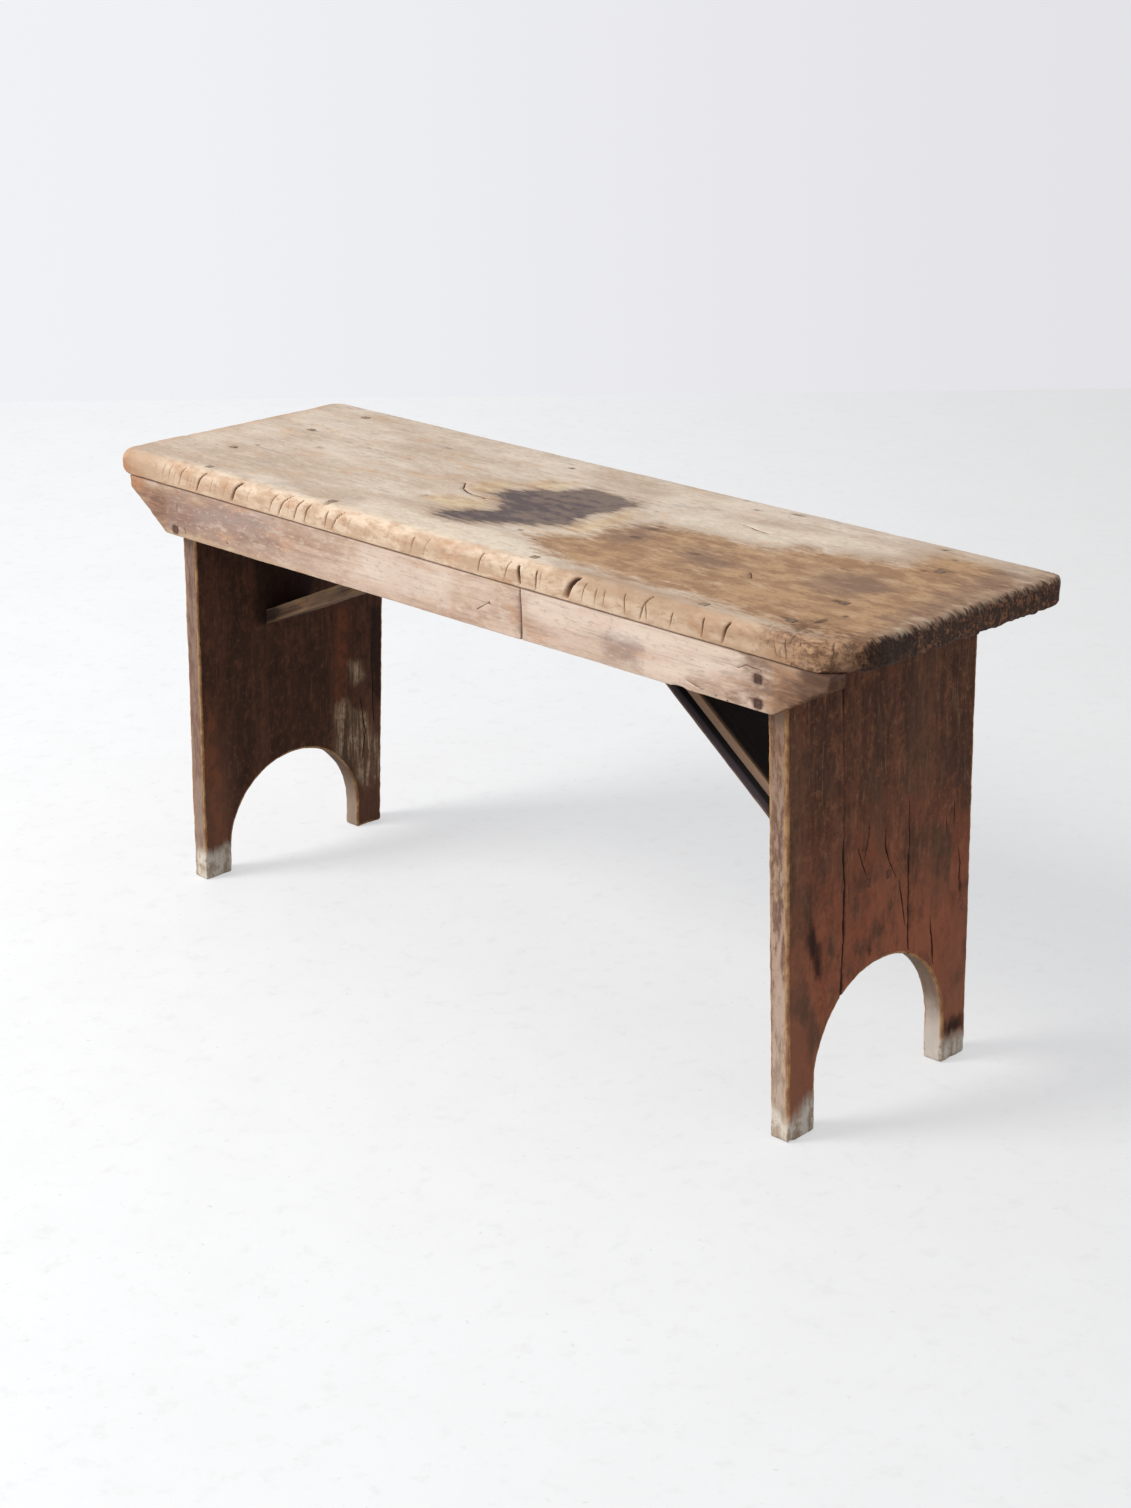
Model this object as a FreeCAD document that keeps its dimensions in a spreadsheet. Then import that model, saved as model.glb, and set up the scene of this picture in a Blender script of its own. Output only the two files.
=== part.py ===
import FreeCAD, Part
import os
import Sketcher

vector = FreeCAD.Vector
upright = vector(0, 0, 1)

# Driving dimensions of the bench, in millimetres.
# The origin is on the floor, under the middle of the seat. X runs along the seat, Y to the back.
driving_sizes = {
    # Seat plank, its ends sawn a little out of square and its arrises worn round
    "seat_length": 927,
    "seat_depth": 286,
    "seat_thickness": 25,
    "seat_height": 449,
    "seat_end_taper": 3,
    "seat_top_round": 11,
    "seat_bottom_round": 3,
    # How much wider than the top round the plank's corners are rounded
    "left_corner_ease": 1.5,
    "right_corner_ease": 31,
    "rear_corner_ease": 4,
    # How far the seat runs past the legs, at its ends and at its back
    "seat_end_overhang": 78,
    "seat_back_overhang": 19,
    # Legs: one wide board at each end, leaning outwards towards the floor
    "leg_thickness": 20,
    "leg_splay": 16.5,
    "foot_width": 37.5,
    "foot_taper": 3.3,
    "left_arch_spring": 25,
    "right_arch_spring": 41,
    # Apron nailed on the front edges of the legs, its ends clipped at an angle
    "apron_thickness": 19,
    "apron_end_gap": 19.5,
    "apron_clip": 56,
    "apron_tip": 12,
    "apron_left_drop": 49,
    "apron_right_drop": 44,
    "apron_tip_round": 7,
    "apron_arris_round": 2,
    # Braces from the middle of each leg up to the underside of the seat
    "brace_width": 60,
    "brace_forward": 6,
    "left_brace_thickness": 14,
    "left_brace_foot": 261,
    "left_brace_head": 2,
    "right_brace_thickness": 24,
    "right_brace_foot": 181,
    "right_brace_head": 52,
    "groove_width": 7.5,
    "groove_depth": 7,
    "tongue_width": 7,
    "tongue_length": 6.5,
    # Cut nails
    "nail_shank": 4.5,
    "nail_point": 2.2,
    "nail_gauge": 3.2,
    "nail_head": 7.5,
    "nail_head_depth": 1.6,
    "long_nail": 60,
    "apron_edge_nail": 44,
    "leg_nail_offset": 4,
    "brace_nail_spacing": 28,
    # How far a cutting shape runs past the wood
    "overrun": 10,
}

# Places along a piece, as shares of the size that they follow
left_seat_nail_shares = (-0.50, 0.31, 0.90)
right_seat_nail_shares = (-0.91, -0.39, 0.60)
apron_edge_nail_shares = (-0.75, -0.34, 0.25, 0.68)
apron_face_nail_shares = (0.40, 0.86)
apron_edge_line_share = 0.8
brace_foot_line_share = 0.7
brace_foot_reach_share = 0.75
brace_head_line_share = 0.6
brace_head_reach_share = 0.78

doc = FreeCAD.newDocument("BucketBench")
sheet = doc.addObject("Spreadsheet::Sheet", "Sizes")
for row, (alias, value) in enumerate(driving_sizes.items(), start=1):
    sheet.set(f"A{row}", alias)
    sheet.set(f"B{row}", str(value))
    sheet.setAlias(f"B{row}", alias)
doc.recompute()


def formula(text):
    """The expression with each size name pointed at the sheet."""
    for alias in sorted(driving_sizes, key=len, reverse=True):
        text = text.replace(f"<{alias}>", f"Sizes.{alias}")
    return text


def worked_out(text):
    """The number that an expression gives now."""
    result = sheet.evalExpression(formula(text))
    return float(getattr(result, "Value", result))


def bind(piece, **sizes):
    """Tie properties of a piece to expressions."""
    for name, text in sizes.items():
        piece.setExpression(name, formula(text))


def place(piece, x, y, z, rotation=FreeCAD.Rotation()):
    """Set a piece down at a place that follows the sheet."""
    spot = vector(worked_out(x), worked_out(y), worked_out(z))
    piece.Placement = FreeCAD.Placement(spot, rotation)
    for axis, text in (("x", x), ("y", y), ("z", z)):
        piece.setExpression(f"Placement.Base.{axis}", formula(text))


# Places that several pieces share
leg_height = "(<seat_height> - <seat_thickness>)"
leg_angle = f"atan2(<leg_splay>; {leg_height})"
leg_slab = f"(<leg_thickness> / cos({leg_angle}))"
leg_front = "(<apron_thickness> - <seat_depth> / 2)"
leg_width = "(<seat_depth> - <apron_thickness> - <seat_back_overhang>)"
leg_middle = f"({leg_front} + {leg_width} / 2)"
leg_reach = "(<seat_length> / 2 - <seat_end_overhang> + <leg_splay>)"
arch_radius = f"({leg_width} / 2 - <foot_width>)"
apron_tip_reach = "(<seat_length> / 2 - <apron_end_gap>)"
sides = {"left": -1, "right": 1}


def leg_middle_at(height):
    """Distance from the bench's middle to the middle of a leg board, at a height."""
    return f"({leg_reach} - {leg_slab} / 2 - ({height}) * <leg_splay> / {leg_height})"


def inner_face_at(height):
    """Distance from the bench's middle to the inner face of a leg, at a height."""
    return f"({leg_middle_at(height)} - {leg_slab} / 2)"


def brace_head(side):
    """Distance from the bench's middle to the brace's lower arris, under the seat."""
    return f"<{side}_brace_head>"


def brace_run(side):
    """How far a brace reaches in from its leg."""
    foot = inner_face_at(f"<{side}_brace_foot>")
    return f"({foot} - {brace_head(side)})"


def brace_rise(side):
    """How far a brace climbs from its foot to the seat."""
    return f"({leg_height} - <{side}_brace_foot>)"


def brace_slope(side):
    """The brace's angle above level."""
    return f"atan2({brace_rise(side)}; {brace_run(side)})"


def new_body(name):
    """A body with its own origin planes."""
    return doc.addObject("PartDesign::Body", name)


def sketch_on(body, role, name):
    """A sketch attached to one of the body's own origin planes."""
    sketch = body.newObject("Sketcher::SketchObject", name)
    plane = [item for item in body.Origin.OriginFeatures if item.Role == role][0]
    sketch.AttachmentSupport = [(plane, "")]
    sketch.MapMode = "FlatFace"
    return sketch


def hold_point(sketch, line, end, label, across, up):
    """Fix a point of a sketch by expressions for its two coordinates."""
    for kind, text in (("DistanceX", across), ("DistanceY", up)):
        number = worked_out(text)
        index = sketch.addConstraint(Sketcher.Constraint(kind, -1, 1, line, end, number))
        sketch.renameConstraint(index, f"{label}_{kind}")
        sketch.setExpression(f"Constraints.{label}_{kind}", formula(text))


def straight_outline(sketch, label, corners):
    """A closed outline of straight lines through corners given as expressions."""
    points = [vector(worked_out(x), worked_out(y), 0) for x, y in corners]
    first = sketch.GeometryCount
    count = len(points)
    for number in range(count):
        line = Part.LineSegment(points[number], points[(number + 1) % count])
        sketch.addGeometry(line, False)
    for number in range(count):
        here = first + number
        there = first + (number + 1) % count
        sketch.addConstraint(Sketcher.Constraint("Coincident", here, 2, there, 1))
    for number, (x, y) in enumerate(corners):
        hold_point(sketch, first + number, 1, f"{label}{number}", x, y)


def pad(body, sketch, name, length, middle=False, backwards=False):
    """Thicken a sketch."""
    feature = body.newObject("PartDesign::Pad", name)
    feature.Profile = sketch
    feature.Midplane = middle
    feature.Reversed = backwards
    bind(feature, Length=length)
    doc.recompute()
    return feature


def pocket(body, sketch, name, length, middle=False):
    """Cut a sketch away, and make sure that wood was removed."""
    before = body.Shape.Volume
    feature = body.newObject("PartDesign::Pocket", name)
    feature.Profile = sketch
    feature.Midplane = middle
    bind(feature, Length=length)
    doc.recompute()
    if feature.Shape.Volume >= before:
        raise RuntimeError(f"{name} removes nothing")
    return feature


def round_edges(body, base, name, radius, wanted):
    """Round the edges of a feature that a test picks out."""
    names = []
    for number, edge in enumerate(base.Shape.Edges, start=1):
        if wanted(edge):
            names.append(f"Edge{number}")
    feature = body.newObject("PartDesign::Fillet", name)
    feature.Base = (base, names)
    bind(feature, Radius=radius)
    doc.recompute()
    return feature


def is_upright(edge):
    """True for a straight edge that runs up and down."""
    run = edge.valueAt(edge.LastParameter) - edge.valueAt(edge.FirstParameter)
    return run.Length > 0 and abs(run.z) == run.Length


# Cut nails: a tapered shank under a small square head, driven along the nail's own +Y
def cut_nail(name, length):
    """One nail, its head's top at the origin."""
    head = doc.addObject("Part::Box", f"{name}_head")
    bind(head, Length="<nail_head>", Width="<nail_head_depth>", Height="<nail_head>")
    place(head, "-<nail_head> / 2", "0", "-<nail_head> / 2")
    shank = doc.addObject("Part::Wedge", f"{name}_shank")
    bind(shank, Xmin="-<nail_shank> / 2", Xmax="<nail_shank> / 2")
    bind(shank, X2min="-<nail_point> / 2", X2max="<nail_point> / 2")
    bind(shank, Zmin="-<nail_gauge> / 2", Zmax="<nail_gauge> / 2")
    bind(shank, Z2min="-<nail_gauge> / 2", Z2max="<nail_gauge> / 2")
    bind(shank, Ymin="<nail_head_depth>", Ymax=length)
    nail = doc.addObject("Part::Fuse", name)
    nail.Base = head
    nail.Tool = shank
    return nail


def nail_group(label, length, rotation, places):
    """A group of like nails, each a solid of its own."""
    nails = []
    for number, (x, y, z) in enumerate(places, start=1):
        nail = cut_nail(f"{label}_{number}", length)
        place(nail, x, y, z, rotation)
        nails.append(nail)
    group = doc.addObject("Part::Compound", label)
    group.Links = nails
    group.Label = label
    doc.recompute()
    return group


def bored(label, blank, groups):
    """A board with the holes that its nails fill."""
    nails = doc.addObject("Part::Compound", f"{label}_nail_holes")
    nails.Links = groups
    board = doc.addObject("Part::Cut", f"{label}_bored")
    board.Base = blank
    board.Tool = nails
    board.Label = label
    doc.recompute()
    if board.Shape.Volume >= blank.Shape.Volume:
        raise RuntimeError(f"no nail reaches {label}")
    return board


# Seat plank
def seat_blank():
    """The plank before its nails."""
    body = new_body("seat_blank")
    half_length = "<seat_length> / 2"
    half_depth = "<seat_depth> / 2"
    outline = sketch_on(body, "XY_Plane", "seat_outline")
    corners = (
        (f"-{half_length}", f"-{half_depth}"),
        (half_length, f"-{half_depth}"),
        (f"{half_length} - <seat_end_taper>", half_depth),
        (f"-{half_length} + <seat_end_taper>", half_depth),
    )
    straight_outline(outline, "corner", corners)
    plank = pad(body, outline, "plank", "<seat_thickness>")
    middle = lambda edge: edge.CenterOfMass
    left = lambda edge: is_upright(edge) and middle(edge).y < 0 and middle(edge).x < 0
    right = lambda edge: is_upright(edge) and middle(edge).y < 0 and middle(edge).x > 0
    rear = lambda edge: is_upright(edge) and middle(edge).y > 0
    for name, wanted in (("left", left), ("right", right), ("rear", rear)):
        radius = f"<seat_top_round> + <{name}_corner_ease>"
        plank = round_edges(body, plank, f"{name}_corner", radius, wanted)
    top = worked_out("<seat_thickness>")
    on_top = lambda edge: abs(edge.BoundBox.ZMin - top) < Part.Precision.confusion()
    on_bottom = lambda edge: abs(edge.BoundBox.ZMax) < Part.Precision.confusion()
    plank = round_edges(body, plank, "worn_top", "<seat_top_round>", on_top)
    round_edges(body, plank, "worn_bottom", "<seat_bottom_round>", on_bottom)
    place(body, "0", "0", leg_height)
    return body


# Legs, each a leaning board with an arch sawn out between its two feet
def leg_blank(side):
    """One leg before its nails, with its origin at the middle of the foot's outer edge."""
    way = sides[side]
    body = new_body(f"{side}_leg_blank")
    section = sketch_on(body, "XZ_Plane", f"{side}_leg_section")
    corners = (
        ("0", "0"),
        (f"-{way} * {leg_slab}", "0"),
        (f"-{way} * ({leg_slab} + <leg_splay>)", leg_height),
        (f"-{way} * <leg_splay>", leg_height),
    )
    straight_outline(section, "corner", corners)
    pad(body, section, f"{side}_leg_board", leg_width, middle=True)

    reach = f"2 * ({leg_slab} + <leg_splay> + <overrun>)"
    arch = sketch_on(body, "YZ_Plane", f"{side}_arch_outline")
    arch_outline(arch, f"<{side}_arch_spring>")
    pocket(body, arch, f"{side}_bootjack_arch", reach, middle=True)

    tapers = sketch_on(body, "YZ_Plane", f"{side}_taper_outline")
    shoulder = f"({leg_height} - <apron_{side}_drop>)"
    for number, edge in enumerate(("-", "")):
        inward = "+" if edge else "-"
        outward = "-" if edge else "+"
        board_edge = f"{edge}{leg_width} / 2"
        foot_edge = f"{board_edge} {inward} <foot_taper>"
        outside = f"{board_edge} {outward} <overrun>"
        corners = (
            (board_edge, shoulder),
            (foot_edge, "0"),
            (foot_edge, "-<overrun>"),
            (outside, "-<overrun>"),
            (outside, shoulder),
        )
        straight_outline(tapers, f"taper{number}_", corners)
    pocket(body, tapers, f"{side}_foot_tapers", reach, middle=True)
    place(body, f"{way} * {leg_reach}", leg_middle, "0")
    return body


def arch_outline(sketch, spring):
    """Two upright sides under a half circle, open past the floor."""
    radius = worked_out(arch_radius)
    height = worked_out(spring)
    below = -worked_out("<overrun>")
    half_turn = worked_out("pi")
    centre = vector(0, height, 0)
    circle = Part.Circle(centre, upright, radius)
    sketch.addGeometry(Part.ArcOfCircle(circle, 0, half_turn), False)
    left_top = vector(-radius, height, 0)
    left_low = vector(-radius, below, 0)
    right_low = vector(radius, below, 0)
    right_top = vector(radius, height, 0)
    sketch.addGeometry(Part.LineSegment(left_top, left_low), False)
    sketch.addGeometry(Part.LineSegment(left_low, right_low), False)
    sketch.addGeometry(Part.LineSegment(right_low, right_top), False)
    sketch.addConstraint(Sketcher.Constraint("Tangent", 0, 2, 1, 1))
    sketch.addConstraint(Sketcher.Constraint("Coincident", 1, 2, 2, 1))
    sketch.addConstraint(Sketcher.Constraint("Coincident", 2, 2, 3, 1))
    sketch.addConstraint(Sketcher.Constraint("Tangent", 3, 2, 0, 1))
    sketch.addConstraint(Sketcher.Constraint("Vertical", 1))
    sketch.addConstraint(Sketcher.Constraint("Horizontal", 2))
    index = sketch.addConstraint(Sketcher.Constraint("Radius", 0, radius))
    sketch.renameConstraint(index, "arch_radius")
    sketch.setExpression("Constraints.arch_radius", formula(arch_radius))
    hold_point(sketch, 0, 3, "centre", "0", spring)
    index = sketch.addConstraint(Sketcher.Constraint("DistanceY", -1, 1, 2, 1, below))
    sketch.renameConstraint(index, "below_floor")
    sketch.setExpression("Constraints.below_floor", formula("-<overrun>"))


# Front apron
def apron_blank():
    """The apron before its nails, with its origin in the middle of its back, at the top."""
    body = new_body("apron_blank")
    outline = sketch_on(body, "XZ_Plane", "apron_outline")
    heel = f"({apron_tip_reach} - <apron_clip>)"
    corners = (
        (f"-{apron_tip_reach}", "0"),
        (f"-{apron_tip_reach}", "-<apron_tip>"),
        (f"-{heel}", "-<apron_left_drop>"),
        (heel, "-<apron_right_drop>"),
        (apron_tip_reach, "-<apron_tip>"),
        (apron_tip_reach, "0"),
    )
    straight_outline(outline, "corner", corners)
    board = pad(body, outline, "apron_board", "<apron_thickness>")
    front = -worked_out("<apron_thickness>")
    at_front = lambda edge: abs(edge.CenterOfMass.y - front) < Part.Precision.confusion()
    tip_edge = lambda edge: is_upright(edge) and at_front(edge)
    board = round_edges(body, board, "worn_tips", "<apron_tip_round>", tip_edge)
    half = worked_out(heel)
    level = -worked_out("<apron_tip>")
    low = lambda edge: edge.CenterOfMass.z < level and abs(edge.CenterOfMass.x) < half
    low_front = lambda edge: low(edge) and at_front(edge)
    round_edges(body, board, "worn_arris", "<apron_arris_round>", low_front)
    place(body, "0", leg_front, leg_height)
    return body


# Braces, each with its origin on its lower arris at the foot
def brace_blank(side, grooved):
    """A length of board with its two ends bevelled to meet the leg and the seat."""
    way = sides[side]
    thickness = f"<{side}_brace_thickness>"
    slope = brace_slope(side)
    lower_length = f"sqrt({brace_run(side)} ^ 2 + {brace_rise(side)} ^ 2)"
    foot_rake = f"({thickness} * tan({slope} + {leg_angle}))"
    head_rake = f"({thickness} / tan({slope}))"
    body = new_body(f"{side}_brace_blank")
    section = sketch_on(body, "XZ_Plane", f"{side}_brace_side")
    corners = (
        ("0", "0"),
        (f"-{way} * {lower_length}", "0"),
        (f"-{way} * ({lower_length} - {head_rake})", thickness),
        (f"-{way} * {foot_rake}", thickness),
    )
    straight_outline(section, "corner", corners)
    pad(body, section, f"{side}_brace_board", "<brace_width>", middle=True)
    if grooved:
        groove_and_tongue(body, side, lower_length, thickness, foot_rake, head_rake)
    turn = FreeCAD.Rotation(vector(0, 1, 0), way * worked_out(slope))
    foot = inner_face_at(f"<{side}_brace_foot>")
    place(body, f"{way} * {foot}", "-<brace_forward>", f"<{side}_brace_foot>", turn)
    return body


def groove_and_tongue(body, side, lower_length, thickness, foot_rake, head_rake):
    """The groove in a brace's front edge and the tongue on its rear edge."""
    way = sides[side]

    def strip(name, width):
        """The band in the middle of the board's thickness, between its bevelled ends."""
        sketch = sketch_on(body, "XZ_Plane", name)
        low = f"({thickness} - {width}) / 2"
        high = f"({thickness} + {width}) / 2"
        corners = []
        for level in (low, high):
            at_foot = f"-{way} * {foot_rake} * ({level}) / {thickness}"
            at_head = f"-{way} * ({lower_length} - {head_rake} * ({level}) / {thickness})"
            pair = [(at_foot, level), (at_head, level)]
            corners += pair if level == low else reversed(pair)
        straight_outline(sketch, "corner", corners)
        return sketch

    groove = strip(f"{side}_groove_band", "<groove_width>")
    bind(groove, **{"AttachmentOffset.Base.z": "<brace_width> / 2"})
    pocket(body, groove, f"{side}_groove", "<groove_depth>")
    tongue = strip(f"{side}_tongue_band", "<tongue_width>")
    bind(tongue, **{"AttachmentOffset.Base.z": "-<brace_width> / 2"})
    pad(body, tongue, f"{side}_tongue", "<tongue_length>", backwards=True)


# Nails
nail_down = FreeCAD.Rotation(vector(0, 1, 0), vector(0, 0, -1))
nail_up = FreeCAD.Rotation(vector(0, 1, 0), vector(0, 0, 1))
nail_back = FreeCAD.Rotation()


def seat_nails(side, shares):
    """Nails down through the seat into the end grain of a leg."""
    across = f"{sides[side]} * ({leg_middle_at(leg_height)} + <leg_nail_offset>)"
    places = []
    for share in shares:
        places.append((across, f"{leg_middle} + {share} * {leg_width} / 2", "<seat_height>"))
    return nail_group(f"{side}_seat_nails", "<long_nail>", nail_down, places)


def apron_face_nails(side):
    """Nails through the face of the apron into the front edge of a leg."""
    drop = f"<apron_{side}_drop>"
    places = []
    for share in apron_face_nail_shares:
        height = f"({leg_height} - {share} * {drop})"
        across = f"{sides[side]} * ({leg_middle_at(height)} - <leg_nail_offset>)"
        places.append((across, "-<seat_depth> / 2", height))
    return nail_group(f"{side}_apron_nails", "<long_nail>", nail_back, places)


def apron_edge_nails():
    """Nails down through the front of the seat into the top edge of the apron."""
    line = f"{apron_edge_line_share} * <apron_thickness> - <seat_depth> / 2"
    places = []
    for share in apron_edge_nail_shares:
        places.append((f"{share} * {apron_tip_reach}", line, "<seat_height>"))
    return nail_group("seat_to_apron_nails", "<apron_edge_nail>", nail_down, places)


def brace_nail_lines():
    """The two nail lines of a brace, either side of its middle."""
    middle = "-<brace_forward>"
    return (f"{middle} - <brace_nail_spacing> / 2", f"{middle} + <brace_nail_spacing> / 2")


def brace_head_nails(side):
    """Nails up through the thin end of a brace into the seat."""
    slope = brace_slope(side)
    back = f"({brace_head_line_share} * <{side}_brace_thickness> / sin({slope}))"
    depth = f"({back} * tan({slope}))"
    length = f"{depth} + {brace_head_reach_share} * <seat_thickness>"
    across = f"{sides[side]} * ({brace_head(side)} + {back})"
    places = [(across, line, f"{leg_height} - {depth}") for line in brace_nail_lines()]
    return nail_group(f"{side}_brace_head_nails", length, nail_up, places)


def brace_foot_nails(side):
    """Nails through a leg into the end grain of a brace."""
    slope = brace_slope(side)
    up_end = f"(cos({leg_angle}) / cos({slope} + {leg_angle}))"
    rise = f"({brace_foot_line_share} * <{side}_brace_thickness> * {up_end})"
    height = f"(<{side}_brace_foot> + {rise})"
    length = f"{leg_slab} + {brace_foot_reach_share} * {rise} / tan({slope})"
    across = f"{sides[side]} * ({inner_face_at(height)} + {leg_slab})"
    inwards = FreeCAD.Rotation(vector(0, 1, 0), vector(-sides[side], 0, 0))
    places = [(across, line, height) for line in brace_nail_lines()]
    return nail_group(f"{side}_brace_foot_nails", length, inwards, places)


left_seat_nails = seat_nails("left", left_seat_nail_shares)
right_seat_nails = seat_nails("right", right_seat_nail_shares)
left_apron_nails = apron_face_nails("left")
right_apron_nails = apron_face_nails("right")
seat_to_apron_nails = apron_edge_nails()
left_head_nails = brace_head_nails("left")
right_head_nails = brace_head_nails("right")
left_foot_nails = brace_foot_nails("left")
right_foot_nails = brace_foot_nails("right")

seat_fastenings = [left_seat_nails, right_seat_nails, seat_to_apron_nails]
seat_fastenings += [left_head_nails, right_head_nails]
apron_fastenings = [left_apron_nails, right_apron_nails, seat_to_apron_nails]
left_leg_fastenings = [left_seat_nails, left_apron_nails, left_foot_nails]
right_leg_fastenings = [right_seat_nails, right_apron_nails, right_foot_nails]

pieces = [
    bored("seat_board", seat_blank(), seat_fastenings),
    bored("front_apron", apron_blank(), apron_fastenings),
    bored("left_leg", leg_blank("left"), left_leg_fastenings),
    bored("right_leg", leg_blank("right"), right_leg_fastenings),
    bored("left_brace", brace_blank("left", grooved=False), [left_foot_nails, left_head_nails]),
    bored("right_brace", brace_blank("right", grooved=True), [right_foot_nails, right_head_nails]),
    left_seat_nails,
    right_seat_nails,
    seat_to_apron_nails,
    left_apron_nails,
    right_apron_nails,
    left_foot_nails,
    right_foot_nails,
    left_head_nails,
    right_head_nails,
]

# Every feature has to be sound before anything is written
doc.recompute()
for item in doc.Objects:
    if "Invalid" in item.State or "Error" in item.State:
        raise RuntimeError(f"{item.Name} failed: {item.State}")
for piece in pieces:
    if piece.Shape.isNull() or not piece.Shape.isValid():
        raise RuntimeError(f"{piece.Label} has a faulty shape")

os.makedirs("parts", exist_ok=True)
for piece in pieces:
    piece.Shape.exportStep(f"parts/{piece.Label}.step")
    box = piece.Shape.BoundBox
    solids = len(piece.Shape.Solids)
    print(f"{piece.Label}: {solids} solids, volume {piece.Shape.Volume:.0f} mm3")
    print(f"  x {box.XMin:.1f} to {box.XMax:.1f}, y {box.YMin:.1f} to {box.YMax:.1f}, "
          f"z {box.ZMin:.1f} to {box.ZMax:.1f}")
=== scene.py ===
import math
import bmesh
import bpy
import numpy as np
from mathutils import Matrix, Vector
from mathutils.geometry import delaunay_2d_cdt


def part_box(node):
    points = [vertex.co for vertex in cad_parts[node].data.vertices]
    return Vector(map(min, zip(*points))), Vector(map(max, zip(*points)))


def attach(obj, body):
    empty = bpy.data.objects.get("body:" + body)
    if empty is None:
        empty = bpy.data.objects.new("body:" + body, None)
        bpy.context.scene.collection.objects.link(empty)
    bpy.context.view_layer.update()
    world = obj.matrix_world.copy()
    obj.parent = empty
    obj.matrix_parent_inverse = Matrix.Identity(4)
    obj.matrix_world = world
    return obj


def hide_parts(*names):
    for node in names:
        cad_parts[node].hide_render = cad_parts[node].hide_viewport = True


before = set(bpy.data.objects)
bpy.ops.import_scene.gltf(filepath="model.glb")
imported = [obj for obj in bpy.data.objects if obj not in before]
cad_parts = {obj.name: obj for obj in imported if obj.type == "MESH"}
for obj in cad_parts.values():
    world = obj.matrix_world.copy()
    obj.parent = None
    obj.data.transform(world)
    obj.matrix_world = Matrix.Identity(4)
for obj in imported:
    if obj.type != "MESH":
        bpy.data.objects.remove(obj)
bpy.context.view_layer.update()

mm = 0.001  # the boards are worked out in millimetres and written in metres


def nodeBox(node):
    low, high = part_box(node)
    return np.array(low) / mm, np.array(high) / mm


def nailPlaces(node, axis, apart=12.0):
    # the middle of each nail of a node, where the nails stand in a row along one axis
    places = np.array([vertex.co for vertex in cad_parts[node].data.vertices]) / mm
    places = places[np.argsort(places[:, axis])]
    groups = np.split(places, np.where(np.diff(places[:, axis]) > apart)[0] + 1)
    return [(group.min(axis=0) + group.max(axis=0)) / 2 for group in groups]


def addObject(name, data):
    thing = bpy.data.objects.new(name, data)
    bpy.context.scene.collection.objects.link(thing)
    return thing


# Noise and outlines

def hashed(cells, seed):
    mixed = cells @ np.array([127.1, 311.7, 74.7]) + seed * 53.9
    return np.modf(np.abs(np.sin(mixed) * 43758.5453))[0]


def softNoise(points, cell, seed):
    # smooth noise from -1 to 1, one value for each cell's corner
    scaled = points / np.array(cell, float)
    base = np.floor(scaled)
    part = scaled - base
    part = part * part * (3 - 2 * part)
    total = np.zeros(len(points))
    for corner in np.ndindex(2, 2, 2):
        weight = np.prod(np.where(corner, part, 1 - part), axis=1)
        total += weight * hashed(base + corner, seed)
    return total * 2 - 1


def evenNoise(points, cell, seed):
    # the same noise from 0 to 1
    return 0.5 + 0.5 * softNoise(points, cell, seed)


def smoothStep(value, low, high):
    share = np.clip((value - low) / (high - low), 0, 1)
    return share * share * (3 - 2 * share)


def hill(points, centre, reach):
    # 1 at the centre, and falling smoothly to 0 around it
    along, across = ((points[:, axis] - centre[axis]) / reach[axis] for axis in (0, 1))
    return np.exp(-along ** 2 - across ** 2)


def stops(length, step, fineAt=(), fineStep=0.5, fineReach=3.0):
    # shares from 0 to 1 along a side, closer together round the places in fineAt
    along = np.linspace(0, length, max(2, round(length * 4)))
    spacing = np.full(len(along), float(step))
    for place in fineAt:
        spacing[np.abs(along - place) < fineReach] = fineStep
    count = np.concatenate([[0], np.cumsum(np.diff(along) / spacing[1:])])
    total = max(1, round(count[-1]))
    return np.interp(np.arange(total + 1) * count[-1] / total, count, along) / length


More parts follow.
